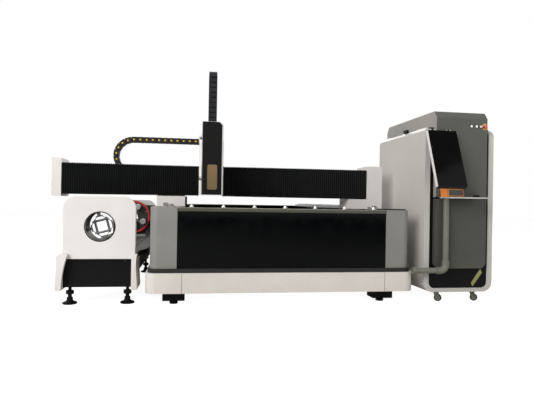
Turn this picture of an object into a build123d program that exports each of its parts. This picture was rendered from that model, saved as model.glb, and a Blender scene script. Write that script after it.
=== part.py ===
# Open flatbed fiber laser cutting machine with a tube unit on its left side
# and a control cabinet on its right. Millimetres, +Z up, the operator stands
# at -Y. The origin is on the floor, under the middle of the whole machine.
from build123d import *
from math import atan2, cos, degrees, hypot, pi, radians, sin
import os

os.makedirs("parts", exist_ok=True)

# Fits
gap = 0.3  # between pieces that slide past or sit near each other
bearing_gap = 0.05  # radial clearance of a shaft in its bearing

# Rounds
small_sides = 12  # flats of small rounds that don't turn on their own axis
link_pin_sides = 8

# Sheet bed
bed_width = 2400
bed_length = 4400
deck_top = 884
post_width = 235
post_depth = 300
post_radius = 70
cover_wall = 4
plinth_proud = 35
plinth_bottom = 130
plinth_top = 308
plinth_radius = 90
seal_height = 36
trim_height = 38
trim_proud = 10
glass_wall = 8
glass_reveal = 10
side_beam_width = 190
cross_beam = 160
cross_beam_count = 4
seam_width = 2

# Ball transfers on the steel trim
transfer_count = 7
transfer_pitch = 281
ball_radius = 17
transfer_depth = 45

# Slat table
slat_pitch = 150
slat_wall = 6
slat_height = 100
tooth_count = 9
tooth_depth = 30
comb_wall = 12
comb_reach = 45
table_start = 120
table_margin = 200

# Guide rails of the gantry, on the bed's side beams
rail_width = 40
rail_height = 36
rail_inset = 100
rail_start = 660
rail_margin = 60
rack_width = 26
rack_height = 24
rack_offset = 60

# Feet under the bed
block_width = 200
block_depth = 160
pad_height = 35
pad_radius = 38
bed_foot_inset = 210
bed_foot_row_count = 3

# Gantry
gantry_front = 680  # from the bed's front plane
gantry_bottom = 989
gantry_height = 312
gantry_depth = 330
beam_overhang = 992  # from the bed's left side to the beam's left end
reach_left = bed_width / 2 + beam_overhang
left_cap = 89
right_cap = 169
cap_rise = 40  # how far the caps stand above the beam
cap_drop = 20  # how far the left cap hangs below it
gantry_inset = 14  # from the bed's side to the gantry's right end
pleat_pitch = 32
pleat_depth = 22
bellows_lip = 80
beam_clear = 41  # from the gantry's outline to the beam inside
foot_left_width = 281
foot_right_width = 199
x_rail_width = 30
x_rail_proud = 16
x_rail_inset = 36

# Carriage and head cover
carriage_width = 201
carriage_left = 750  # from the bed's middle to the carriage's left side, leftwards
carriage_flange = 20
cover_front = 350  # from the bed's front plane
cover_depth = 250
cover_bottom = 1003
cover_height = 700
cover_chamfer = 30
cover_wall_front = 4
window_width = 93
window_height = 238
window_bottom = 1052
window_radius = 16
window_wall = 3

# Cable chain of the X axis, behind the beam
link_pitch = 65
link_height = 58
chain_width = 80
chain_radius = 175
chain_low = 1234
chain_reach = 712  # from the carriage's left side to the turn's centre
chain_left_turn = carriage_left + chain_reach
chain_lower_run = 780
pin_radius = 8
pin_proud = 2

# Cutting head and its cable chain
z_plate_wall = 35
z_plate_half = 60
z_plate_top = 1560
z_plate_height = 440
shelf_bracket = 23
head_radius = 42
head_length = 330
nozzle_length = 46
nozzle_tip = 1012
loop_top = 2228
loop_radius = 62
loop_link_pitch = 46
loop_link_height = 22
loop_width = 77
loop_tail = 110

# Tube unit
tube_width = 624
tube_clearance = 132  # from the bed's left side
tube_left = bed_width / 2 + tube_clearance + tube_width
tube_front = 146
chuck_bottom = 414
chuck_top = 969
chuck_corner = 115
chuck_wall = 60
chuck_reach = 442  # from the bed's left side to the axis of the chucks
chuck_x = bed_width / 2 + chuck_reach
chuck_z = 700
mouth_radius = 133
tube_end_margin = 60
drum_radius = 180
drum_length = 210
bearing_wall = 55
bearing_length = 60
jaw_opening = 86
jaw_turn = 15
jaw_bar_length = 146
jaw_bar_radius = 9
jaw_depth = 106
jaw_stagger = 24
jaw_plate = 12
jaw_stem_width = 30
jaw_stem_reach = 148
jaw_yoke_height = 98
jaw_yoke_half = 32
base_width = 530
base_clearance = 179  # from the bed's left side
base_left = bed_width / 2 + base_clearance + base_width
base_bottom = 200
base_start = 40
tube_rail_width = 36
tube_rail_height = 30
tube_rail_offset = 200
tie_starts = (1500, 3000)  # brackets that tie the tube base to the bed, from the base's front
tie_width = 120
leg_wall = 50
leg_shoulder = 90  # width of the left leg's rounded top
leg_depth = 330
leg_bottom = 142
leg_top = 459
leg_flare = 49
leg_lean = 39
panel_bottom = 159
tube_foot_radius = 65
tube_stem_radius = 26
tube_foot_inset = 111
rear_chuck_back = 3100
rear_ring_radius = 230
rear_bore_radius = 70
clamp_radius = 42
clamp_length = 110
clamp_reach = 155
clamp_turn = -25
rear_plate_top = 938

# Control cabinet
cabinet_width = 710
cabinet_clearance = 166  # from the bed's right side
cabinet_right = bed_width / 2 + cabinet_clearance + cabinet_width
cabinet_front = 46
cabinet_depth = 1165
cabinet_bottom = 102
cabinet_top = 1690
frame_strip = 52
frame_radius = 95
wing_chamfer = 55
frame_bar = 38
body_width = 527
panel_proud = 36
panel_wall = 49
hood_top = 1843
hood_bevel_height = 63
hood_bevel_depth = 50
split_height = 1000
split_gap = 16
lower_panel_bottom = 334
lower_panel_radius = 60
kick_wall = 6
button_height = 1705
button_radius = 11
button_proud = 6
button_travel = 3
button_stem = 8
button_bore_depth = 34
bezel_radius = 14
bezel_proud = 3
start_inset = 261  # from the cabinet's right side
stop_inset = 207
key_inset = 164
mushroom_inset = 120
mushroom_radius = 20
mushroom_ring_radius = 26
mushroom_travel = 5
mushroom_depth = 15
rear_door_wall = 20
rear_door_margin = 12
hinge_radius = 8
hinge_pin_radius = 4

# Monitor and desk shelf
monitor_width = 286
monitor_height = 580
monitor_wall = 40
monitor_tilt = 22
monitor_inset = 737  # from the cabinet's right side to the screen's left side
monitor_top = 1644
monitor_stand_off = 96  # from the cabinet's front plane to the screen's top edge
shelf_top = 1017
shelf_wall = 12
shelf_inset = 576  # from the cabinet's right side to the shelf's left end
shelf_width = 382
shelf_reach = 210

# Conduit from the bed to the desk shelf
conduit_radius = 27
fitting_radius = 34
conduit_height = 322
conduit_inset = 531  # from the cabinet's right side
conduit_start = 14.2  # from the bed's side, so that the fitting seats on the plinth's round corner
conduit_y = -34
elbow_radius = 55

# Casters
caster_wheel_radius = 36
caster_wheel_width = 26
caster_inset_x = 165
caster_inset_y = 90
caster_trail = 26
caster_turn = -35
caster_axle_radius = 4
caster_plate_radius = 22
caster_wall = 4

# Places in the machine's own frame, worked out from the sizes above
monitor_reach = monitor_stand_off - cabinet_front + monitor_height * sin(radians(monitor_tilt))
bed_x = (reach_left - cabinet_right) / 2
bed_y = (monitor_reach - bed_length - plinth_proud) / 2
half_bed = bed_width / 2
cabinet_end = bed_x + cabinet_right
bed_left = bed_x - half_bed
bed_right = bed_x + half_bed
bed_back = bed_y + bed_length
post_bottom = plinth_top + seal_height


def block(x_low, x_high, y_low, y_high, z_low, z_high, mode=Mode.ADD):
    """A plain cuboid between two corners, added to the part being built."""
    with BuildSketch(Plane.XY.offset(z_low)) as profile:
        with Locations(((x_low + x_high) / 2, (y_low + y_high) / 2)):
            Rectangle(x_high - x_low, y_high - y_low)
    extrude(profile.sketch, amount=z_high - z_low, mode=mode)


def round_outline(radius, sides=None, bore=False, mode=Mode.ADD):
    """Outline of a round, or of one with flats, which keeps the facets few:
    the corners of a pin lie on its radius, the flats of a bore on its own."""
    if sides:
        RegularPolygon(radius, sides, major_radius=not bore, mode=mode)
    else:
        Circle(radius, mode=mode)


def front_plane(y):
    """The upright plane at this depth, seen from the operator's side."""
    return Plane.XZ.offset(-y)


def round_y(x, z, y_low, y_high, radius, mode=Mode.ADD, sides=None):
    """A round bar or bore along Y."""
    with BuildSketch(front_plane(y_low)) as profile:
        with Locations((x, z)):
            round_outline(radius, sides, mode is Mode.SUBTRACT)
    extrude(profile.sketch, amount=y_low - y_high, mode=mode)


def round_z(x, y, z_low, z_high, radius, mode=Mode.ADD, sides=None):
    """A round bar or bore along Z."""
    with BuildSketch(Plane.XY.offset(z_low)) as profile:
        with Locations((x, y)):
            round_outline(radius, sides, mode is Mode.SUBTRACT)
    extrude(profile.sketch, amount=z_high - z_low, mode=mode)


def round_x(y, z, x_low, x_high, radius, mode=Mode.ADD, sides=None):
    """A round bar or bore along X."""
    with BuildSketch(Plane.YZ.offset(x_low)) as profile:
        with Locations((y, z)):
            round_outline(radius, sides, mode is Mode.SUBTRACT)
    extrude(profile.sketch, amount=x_high - x_low, mode=mode)


# Bed frame: two box beams joined by cross beams and a front and rear beam
beam_top = deck_top - cover_wall
beam_inner = half_bed - cover_wall - side_beam_width
frame_front = bed_y + glass_wall + glass_reveal
glass_half = half_bed - post_width - seam_width
glass_top = deck_top - trim_height
slat_bottom = deck_top - slat_height
with BuildPart() as bed_frame:
    for side in (-1, 1):
        outer = bed_x + side * (half_bed - cover_wall)
        inner = bed_x + side * beam_inner
        block(min(outer, inner), max(outer, inner), bed_y + post_depth, bed_back - cover_wall,
              plinth_bottom, beam_top)
    for y_low in (frame_front, bed_back - cover_wall - cross_beam):
        reach = glass_half if y_low == frame_front else beam_inner
        block(bed_x - reach, bed_x + reach, y_low, y_low + cross_beam, plinth_bottom, slat_bottom)
    block(bed_x - glass_half, bed_x + glass_half, frame_front, frame_front + trim_proud,
          slat_bottom, glass_top)
    for side in (-1, 1):
        inner = bed_x + side * (glass_half - cross_beam)
        outer = bed_x + side * glass_half
        block(min(outer, inner), max(outer, inner), frame_front, bed_y + post_depth + cross_beam,
              plinth_bottom, slat_bottom)
    first = bed_y + post_depth + cross_beam
    step = (bed_length - post_depth - 3 * cross_beam) / cross_beam_count
    for number in range(cross_beam_count):
        block(bed_x - beam_inner, bed_x + beam_inner, first + number * step,
              first + number * step + cross_beam, plinth_bottom, plinth_bottom + cross_beam)
bed_frame.part.label = "bed_frame"
export_step(bed_frame.part, "parts/bed_frame.step")

# Side and rear covers: folded sheets with a flange over the beam's top
cover_front_y = bed_y + post_depth
cover_length = bed_back - cover_front_y
with BuildPart() as bed_covers:
    for side in (-1, 1):
        skin = bed_x + side * half_bed
        inside = bed_x + side * (half_bed - cover_wall)
        flange = bed_x + side * beam_inner
        for half in range(2):
            y_low = cover_front_y + half * cover_length / 2 + seam_width / 2
            y_high = y_low + cover_length / 2 - seam_width
            block(min(skin, inside), max(skin, inside), y_low, y_high, post_bottom, deck_top)
            block(min(inside, flange), max(inside, flange), y_low, y_high, beam_top, deck_top)
    rear_half = beam_inner - seam_width
    block(bed_x - rear_half, bed_x + rear_half, bed_back - cover_wall, bed_back, post_bottom, deck_top)
bed_covers.part.label = "bed_covers"
export_step(bed_covers.part, "parts/bed_covers.step")

# Corner posts: rounded hollow shells at the front, closed on top
with BuildPart() as corner_posts:
    for side in (-1, 1):
        outer = bed_x + side * half_bed
        inner = bed_x + side * (half_bed - post_width)
        with BuildSketch(Plane.XY.offset(post_bottom)) as post_outline:
            with Locations(((outer + inner) / 2, bed_y + post_depth / 2)):
                Rectangle(post_width, post_depth - seam_width)
            corner = post_outline.vertices().group_by(Axis.Y)[0].sort_by(Axis.X)[0 if side < 0 else -1]
            fillet(corner, post_radius)
        extrude(amount=deck_top - post_bottom)
        with BuildSketch(Plane.XY.offset(post_bottom)) as post_hollow:
            with Locations(((outer + inner) / 2, bed_y + post_depth / 2)):
                Rectangle(post_width - 2 * cover_wall, post_depth - seam_width - 2 * cover_wall)
            corner = post_hollow.vertices().group_by(Axis.Y)[0].sort_by(Axis.X)[0 if side < 0 else -1]
            fillet(corner, post_radius - cover_wall)
        extrude(amount=deck_top - post_bottom - cover_wall, mode=Mode.SUBTRACT)
corner_posts.part.label = "corner_posts"
export_step(corner_posts.part, "parts/corner_posts.step")

# Glass front panel between the posts, with the steel trim above it
with BuildPart() as front_glass:
    block(bed_x - glass_half, bed_x + glass_half, bed_y + glass_reveal,
          bed_y + glass_reveal + glass_wall, post_bottom, glass_top)
front_glass.part.label = "front_glass"
export_step(front_glass.part, "parts/front_glass.step")

with BuildPart() as trim_rail:
    with BuildSketch(Plane.YZ.offset(bed_x - glass_half)) as trim_section:
        with Locations((bed_y + transfer_depth / 2, deck_top - trim_height / 2)):
            Rectangle(transfer_depth, trim_height)
        fillet(trim_section.vertices().group_by(Axis.X)[0], trim_proud)
    extrude(amount=2 * glass_half)
trim_rail.part.label = "trim_rail"
export_step(trim_rail.part, "parts/trim_rail.step")

# Ball transfers: a cup on the trim and a ball that stands out of it
cup_height = ball_radius / 2
transfer_y = bed_y + transfer_depth / 2
with BuildPart() as ball_transfers:
    for number in range(transfer_count):
        x = bed_x + (number - (transfer_count - 1) / 2) * transfer_pitch
        cup_top = deck_top + cup_height
        round_z(x, transfer_y, deck_top, cup_top, ball_radius + cover_wall, sides=small_sides)
        with BuildSketch(Plane.XY.offset(cup_top + gap)) as ball_outline:
            with Locations((x, transfer_y)):
                round_outline(ball_radius, small_sides)
        extrude(ball_outline.sketch, amount=ball_radius / 2, taper=degrees(atan2(1 - cos(pi / 6), 0.5)))
        with BuildSketch(Plane.XY.offset(cup_top + gap + ball_radius / 2)) as ball_crown:
            with Locations((x, transfer_y)):
                round_outline(ball_radius * cos(pi / 6), small_sides)
        extrude(ball_crown.sketch, amount=ball_radius / 2 * 0.8, taper=48)
ball_transfers.part.label = "ball_transfers"
export_step(ball_transfers.part, "parts/ball_transfers.step")

# Plinth band round the foot of the bed, with a rubber seal above it
with BuildPart() as plinth:
    with BuildSketch(Plane.XY.offset(plinth_bottom)):
        with Locations((bed_x, bed_y + bed_length / 2)):
            RectangleRounded(bed_width + 2 * plinth_proud, bed_length + 2 * plinth_proud, plinth_radius)
            Rectangle(bed_width - 2 * cover_wall, bed_length - 2 * cover_wall, mode=Mode.SUBTRACT)
    extrude(amount=plinth_top - plinth_bottom)
    for side in (-1, 1):
        seam = bed_x + side * glass_half
        block(seam - seam_width / 2, seam + seam_width / 2, bed_y - plinth_proud,
              bed_y - plinth_proud + seam_width, plinth_bottom, plinth_top, mode=Mode.SUBTRACT)
plinth.part.label = "plinth"
export_step(plinth.part, "parts/plinth.step")

seal_proud = plinth_proud / 2
with BuildPart() as seal_strip:
    with BuildSketch(Plane.XY.offset(plinth_top)) as seal_outline:
        with Locations((bed_x, bed_y + bed_length / 2)):
            Rectangle(bed_width + 2 * seal_proud, bed_length + 2 * seal_proud)
        fillet(seal_outline.vertices().group_by(Axis.Y)[0], post_radius + seal_proud)
        fillet(seal_outline.vertices().group_by(Axis.Y)[-1], plinth_proud)
    extrude(amount=seal_height)
    with BuildSketch(Plane.XY.offset(plinth_top)) as seal_hollow:
        with Locations((bed_x, bed_y + bed_length / 2)):
            Rectangle(bed_width - 2 * cover_wall, bed_length - 2 * cover_wall)
        fillet(seal_hollow.vertices().group_by(Axis.Y)[0], post_radius)
    extrude(amount=seal_height, mode=Mode.SUBTRACT)
seal_strip.part.label = "seal_strip"
export_step(seal_strip.part, "parts/seal_strip.step")

# Slat table: toothed slats that stand in the slots of two combs
slat_top = deck_top
slat_half = glass_half - comb_wall
slat_span = 2 * slat_half
tooth_pitch = slat_span / tooth_count
slat_count = int((bed_length - table_start - table_margin) // slat_pitch)
with BuildPart() as slat_table:
    for side in (-1, 1):
        wall_face = bed_x + side * beam_inner
        comb_face = bed_x + side * (slat_half - comb_reach)
        block(min(wall_face, comb_face), max(wall_face, comb_face), bed_y + post_depth + cross_beam,
              bed_back - table_margin, slat_bottom - 2 * comb_wall, slat_bottom)
    for number in range(slat_count):
        y = bed_y + table_start + number * slat_pitch
        with BuildSketch(front_plane(y)):
            with BuildLine():
                points = [(bed_x - slat_half, slat_bottom + gap), (bed_x - slat_half, slat_top - tooth_depth)]
                for tooth in range(tooth_count):
                    left = bed_x - slat_half + tooth * tooth_pitch
                    points.append((left + tooth_pitch / 2, slat_top))
                    points.append((left + tooth_pitch, slat_top - tooth_depth))
                points.append((bed_x + slat_half, slat_bottom + gap))
                Polyline(*points, close=True)
            make_face()
        extrude(amount=-slat_wall)
slat_table.part.label = "slat_table"
export_step(slat_table.part, "parts/slat_table.step")

# Guide rails and racks on the deck, over the side beams
rail_x = half_bed - rail_inset
rail_back = bed_back - rail_margin
with BuildPart() as y_rails:
    for side in (-1, 1):
        x = bed_x + side * rail_x
        block(x - rail_width / 2, x + rail_width / 2, bed_y + rail_start, rail_back,
              deck_top, deck_top + rail_height)
        x = bed_x + side * (rail_x - rack_offset)
        block(x - rack_width / 2, x + rack_width / 2, bed_y + rail_start, rail_back,
              deck_top, deck_top + rack_height)
y_rails.part.label = "y_rails"
export_step(y_rails.part, "parts/y_rails.step")


# Gantry outline, shared by the beam, the caps, the feet and the bellows
gantry_y = bed_y + gantry_front
gantry_top = gantry_bottom + gantry_height
gantry_back = gantry_y + gantry_depth
gantry_left = bed_x - reach_left
gantry_right = bed_right - gantry_inset
span_left = gantry_left + left_cap
span_right = gantry_right - right_cap
beam_y = gantry_y + beam_clear
beam_low = gantry_bottom + beam_clear
beam_high = gantry_top - beam_clear
rail_low = beam_low + x_rail_inset
rail_high = beam_high - x_rail_inset - x_rail_width

with BuildPart() as gantry_beam:
    block(span_left, span_right, beam_y, gantry_back, beam_low, beam_high)
    for z in (rail_low, rail_high):
        block(span_left, span_right, beam_y - x_rail_proud, beam_y, z, z + x_rail_width)
    tray_low = chain_low - link_height / 2 - gap - cover_wall
    block(bed_x - chain_left_turn - chain_radius, span_right, gantry_back,
          gantry_back + chain_width + 2 * cover_wall, tray_low, tray_low + cover_wall)
gantry_beam.part.label = "gantry_beam"
export_step(gantry_beam.part, "parts/gantry_beam.step")

# End caps: the right one is deeper and reaches down to the bed
cap_top = gantry_top + cap_rise
with BuildPart() as end_caps:
    with BuildSketch(Plane.YZ.offset(gantry_left)) as left_outline:
        with Locations(((gantry_y + gantry_back) / 2, (gantry_bottom - cap_drop + cap_top) / 2)):
            Rectangle(gantry_depth, cap_top - gantry_bottom + cap_drop)
        fillet(left_outline.vertices().group_by(Axis.X)[-1], plinth_proud)
    extrude(amount=left_cap)
    with BuildSketch(Plane.YZ.offset(span_right)) as right_outline:
        with Locations(((gantry_y + gantry_back) / 2, (deck_top + gap + cap_top) / 2)):
            Rectangle(gantry_depth, cap_top - deck_top - gap)
        fillet(right_outline.vertices().group_by(Axis.X)[-1].sort_by(Axis.Y)[-1], plinth_proud)
    extrude(amount=right_cap)
    rail = bed_x + rail_x
    block(rail - rail_width / 2 - gap, rail + rail_width / 2 + gap, gantry_y, gantry_back,
          deck_top, deck_top + rail_height + gap, mode=Mode.SUBTRACT)
    rack = bed_x + rail_x - rack_offset
    block(rack - rack_width / 2 - gap, rack + rack_width / 2 + gap, gantry_y, gantry_back,
          deck_top, deck_top + rack_height + gap, mode=Mode.SUBTRACT)
end_caps.part.label = "end_caps"
export_step(end_caps.part, "parts/end_caps.step")

# Feet: folded brackets that carry the beam on the rails
left_foot = bed_left + gantry_inset
with BuildPart() as gantry_feet:
    for x_low, width in ((left_foot, foot_left_width), (span_right - foot_right_width, foot_right_width)):
        with BuildSketch(Plane.YZ.offset(x_low)):
            with BuildLine():
                Polyline(
                    (gantry_y + seam_width, deck_top + gap),
                    (gantry_back, deck_top + gap),
                    (gantry_back, beam_low),
                    (gantry_y + bellows_lip + gap, beam_low),
                    (gantry_y + bellows_lip + gap, gantry_bottom - seam_width),
                    (gantry_y + seam_width, gantry_bottom - seam_width),
                    close=True,
                )
            make_face()
        extrude(amount=width)
    rail = bed_x - rail_x
    block(rail - rail_width / 2 - gap, rail + rail_width / 2 + gap, gantry_y, gantry_back,
          deck_top, deck_top + rail_height + gap, mode=Mode.SUBTRACT)
    rack = bed_x - rail_x + rack_offset
    block(rack - rack_width / 2 - gap, rack + rack_width / 2 + gap, gantry_y, gantry_back,
          deck_top, deck_top + rack_height + gap, mode=Mode.SUBTRACT)
gantry_feet.part.label = "gantry_feet"
export_step(gantry_feet.part, "parts/gantry_feet.step")

# Carriage: a plate that grips the beam's rails, with a flange on each side for
# the bellows and an arm over the beam for the cable chain
carriage_x = bed_x - carriage_left
carriage_end = carriage_x + carriage_width
cover_y = bed_y + cover_front
cover_back = cover_y + cover_depth
flange_left = carriage_x - carriage_flange
flange_right = carriage_end + carriage_flange
chain_high = chain_low + 2 * chain_radius
chain_y = gantry_back + cover_wall
carriage_back = beam_y - gap
with BuildPart() as carriage_plate:
    block(flange_left, flange_right, cover_back + gap, carriage_back, cover_bottom, gantry_top)
    for z in (rail_low, rail_high):
        block(flange_left, flange_right, beam_y - x_rail_proud - gap, carriage_back,
              z - gap, z + x_rail_width + gap, mode=Mode.SUBTRACT)
    block(flange_left, flange_right, cover_back + gap, gantry_y + pleat_depth, gantry_top,
          chain_high - link_height / 2)
    block(flange_left, carriage_x, cover_back + gap, chain_y + chain_width,
          chain_high - link_height / 2, chain_high + link_height / 2)
carriage_plate.part.label = "carriage_plate"
export_step(carriage_plate.part, "parts/carriage_plate.step")


def bellows_outline(x_low, x_high, depth_of):
    """Zigzag line of pleats between two ends, closed behind; depth_of gives
    the coordinate of a crest (1) or a valley (0)."""
    count = round((x_high - x_low) / pleat_pitch)
    step = (x_high - x_low) / count
    points = [(x_low, depth_of(0))]
    for number in range(count):
        points.append((x_low + (number + 0.5) * step, depth_of(1)))
        points.append((x_low + (number + 1) * step, depth_of(0)))
    return points


def pleated(x_low, x_high):
    """Bellows round the front, top and lower lip of the beam. Pleats seen from
    above and pleats seen from the front meet in mitred corners."""
    inner_y = gantry_y + pleat_depth
    lip_y = gantry_y + bellows_lip
    with BuildSketch(Plane.XY.offset(gantry_bottom)) as profile:
        with BuildLine():
            front = bellows_outline(x_low, x_high, lambda crest: inner_y - crest * pleat_depth)
            Polyline(*front, (x_high, gantry_back), (x_low, gantry_back), close=True)
        make_face()
    extrude(profile.sketch, amount=gantry_height)
    with BuildSketch(front_plane(gantry_y)) as profile:
        with BuildLine():
            inner_top = gantry_top - pleat_depth
            inner_low = gantry_bottom + pleat_depth
            top = bellows_outline(x_low, x_high, lambda crest: inner_top + crest * pleat_depth)
            low = bellows_outline(x_low, x_high, lambda crest: inner_low - crest * pleat_depth)
            Polyline(*top, *reversed(low), close=True)
        make_face()
    extrude(profile.sketch, amount=-gantry_depth, mode=Mode.INTERSECT)
    clear = beam_y - x_rail_proud - gap
    block(x_low, x_high, clear, gantry_back, gantry_bottom + pleat_depth + seam_width,
          beam_high + seam_width, mode=Mode.SUBTRACT)
    block(x_low, x_high, lip_y, gantry_back, gantry_bottom - seam_width, beam_low + seam_width,
          mode=Mode.SUBTRACT)


with BuildPart() as bellows_left:
    pleated(span_left, flange_left)
bellows_left.part.label = "bellows_left"
export_step(bellows_left.part, "parts/bellows_left.step")

with BuildPart() as bellows_right:
    pleated(flange_right, span_right)
bellows_right.part.label = "bellows_right"
export_step(bellows_right.part, "parts/bellows_right.step")


# Head cover: a folded sheet box, open below and behind, with a window
cover_top = cover_bottom + cover_height
window_x = carriage_x + carriage_width / 2 - seam_width
loop_x = carriage_x + carriage_width / 2
loop_y = cover_y + cover_depth - loop_radius - comb_wall * 2
latch_y = cover_y + cover_depth / 2
with BuildPart() as head_cover:
    with BuildSketch(front_plane(cover_y)) as cover_outline:
        with Locations(((carriage_x + carriage_end) / 2, (cover_bottom + cover_top) / 2)):
            Rectangle(carriage_width, cover_height)
        chamfer(cover_outline.vertices().group_by(Axis.Y)[-1].sort_by(Axis.X)[-1], cover_chamfer)
    extrude(amount=-cover_depth)
    block(carriage_x + cover_wall, carriage_end - cover_wall, cover_y + cover_wall_front, cover_back,
          cover_bottom, cover_top - cover_chamfer - cover_wall, mode=Mode.SUBTRACT)
    block(loop_x - loop_width / 2 - cover_wall, loop_x + loop_width / 2 + cover_wall,
          loop_y - loop_radius - loop_link_height, loop_y + loop_radius + loop_link_height,
          cover_bottom, cover_top, mode=Mode.SUBTRACT)
    with BuildSketch(front_plane(cover_y)):
        with Locations((window_x, window_bottom + window_height / 2)):
            RectangleRounded(window_width, window_height, window_radius)
    extrude(amount=-cover_wall_front, mode=Mode.SUBTRACT)
    for z in (cover_bottom + cover_height * 0.23, cover_bottom + cover_height * 0.8):
        round_x(latch_y, z, carriage_x - carriage_flange, carriage_x, carriage_flange)
head_cover.part.label = "head_cover"
export_step(head_cover.part, "parts/head_cover.step")

with BuildPart() as cover_window:
    with BuildSketch(front_plane(cover_y + (cover_wall_front - window_wall) / 2)):
        with Locations((window_x, window_bottom + window_height / 2)):
            RectangleRounded(window_width, window_height, window_radius)
    extrude(amount=-window_wall)
cover_window.part.label = "cover_window"
export_step(cover_window.part, "parts/cover_window.step")

# Z slide: a plate that rides on the carriage, with a shelf for the cable chain
slide_back = cover_back
slide_front = slide_back - z_plate_wall
loop_front = loop_y - loop_radius
with BuildPart() as z_slide:
    block(loop_x - z_plate_half, loop_x + z_plate_half, slide_front, slide_back,
          z_plate_top - z_plate_height, z_plate_top)
    block(loop_x - loop_width / 2, loop_x + loop_width / 2, loop_front - loop_link_height / 2, slide_front,
          z_plate_top - shelf_bracket, z_plate_top)
z_slide.part.label = "z_slide"
export_step(z_slide.part, "parts/z_slide.step")

# Cutting head: nozzle, ceramic collar, block body and fibre collimator
head_y = slide_front - head_radius
body_bottom = nozzle_tip + 2 * nozzle_length
with BuildPart() as cutting_head:
    block(loop_x - head_radius, loop_x + head_radius, slide_front - 2 * head_radius, slide_front,
          body_bottom, body_bottom + head_length)
    with BuildSketch(Plane.XZ.offset(-head_y)):
        with BuildLine():
            Polyline(
                (loop_x, nozzle_tip),
                (loop_x + nozzle_length / 12, nozzle_tip),
                (loop_x + head_radius / 3, nozzle_tip + nozzle_length),
                (loop_x + head_radius * 0.8, nozzle_tip + nozzle_length),
                (loop_x + head_radius * 0.8, body_bottom),
                (loop_x, body_bottom),
                close=True,
            )
        make_face()
    revolve(axis=Axis((loop_x, head_y, 0), (0, 0, 1)))
    round_z(loop_x, head_y, body_bottom + head_length, z_plate_top - shelf_bracket - gap, head_radius * 0.6)
cutting_head.part.label = "cutting_head"
export_step(cutting_head.part, "parts/cutting_head.step")


def chain_path(distance, upper, radius):
    """A place along a cable chain: an upper run of this length, a half turn of
    this radius and a lower run, measured from the turn's centre."""
    if distance < upper:
        return (upper - distance, radius)
    turn = (distance - upper) / radius
    if turn < pi:
        return (-radius * sin(turn), radius * cos(turn))
    return (distance - upper - pi * radius, -radius)


def link_place(number, pitch, upper, radius):
    """Middle, heading and half length of one link that spans two joints of
    the chain."""
    start = chain_path(number * pitch, upper, radius)
    end = chain_path((number + 1) * pitch, upper, radius)
    run = end[0] - start[0]
    rise = end[1] - start[1]
    reach = hypot(run, rise)
    return (start[0] + run / 2, start[1] + rise / 2, run / reach, rise / reach, (reach - gap) / 2)


# Cable chain of the X axis: links with tapered ends, each with a link pin
chain_turn_x = bed_x - chain_left_turn
chain_upper = flange_left - gap - chain_turn_x
chain_mid = chain_low + chain_radius
chain_length = chain_upper + pi * chain_radius + chain_lower_run
link_count = int(chain_length // link_pitch)
link_taper = link_height / 2 * 0.2
with BuildPart() as x_chain:
    for number in range(link_count):
        along, up, run, rise, half = link_place(number, link_pitch, chain_upper, chain_radius)
        centre = (chain_turn_x + along, chain_y, chain_mid + up)
        heading = (run, 0, rise)
        with BuildSketch(Plane(origin=centre, x_dir=heading, z_dir=(0, -1, 0))):
            with BuildLine():
                high = link_height / 2
                Polyline(
                    (half, 0),
                    (half - link_taper, high),
                    (link_taper - half, high),
                    (-half, 0),
                    (link_taper - half, -high),
                    (half - link_taper, -high),
                    close=True,
                )
            make_face()
        extrude(amount=-chain_width)
        with BuildSketch(Plane(origin=centre, x_dir=heading, z_dir=(0, -1, 0))):
            round_outline(pin_radius, link_pin_sides)
        extrude(amount=pin_proud)
x_chain.part.label = "x_chain"
export_step(x_chain.part, "parts/x_chain.step")

# Cable chain of the Z axis: a tall loop above the head cover
loop_centre_z = loop_top - loop_radius - loop_link_height / 2
rear_run = loop_centre_z - chain_high - link_height / 2 - gap
front_run = loop_centre_z - z_plate_top
loop_length = front_run + pi * loop_radius + rear_run
loop_count = int(loop_length // loop_link_pitch)
loop_step = loop_length / loop_count
with BuildPart() as z_chain:
    for number in range(loop_count):
        down, out, run, rise, half = link_place(number, loop_step, front_run, loop_radius)
        centre = (loop_x - loop_width / 2, loop_y - out, loop_centre_z - down)
        heading = (0, -rise, -run)
        with BuildSketch(Plane(origin=centre, x_dir=heading, z_dir=(1, 0, 0))):
            with BuildLine():
                high = loop_link_height / 2
                taper = high * 0.5
                Polyline(
                    (half, 0),
                    (half - taper, high),
                    (taper - half, high),
                    (-half, 0),
                    (taper - half, -high),
                    (half - taper, -high),
                    close=True,
                )
            make_face()
        extrude(amount=loop_width)
z_chain.part.label = "z_chain"
export_step(z_chain.part, "parts/z_chain.step")


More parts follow.
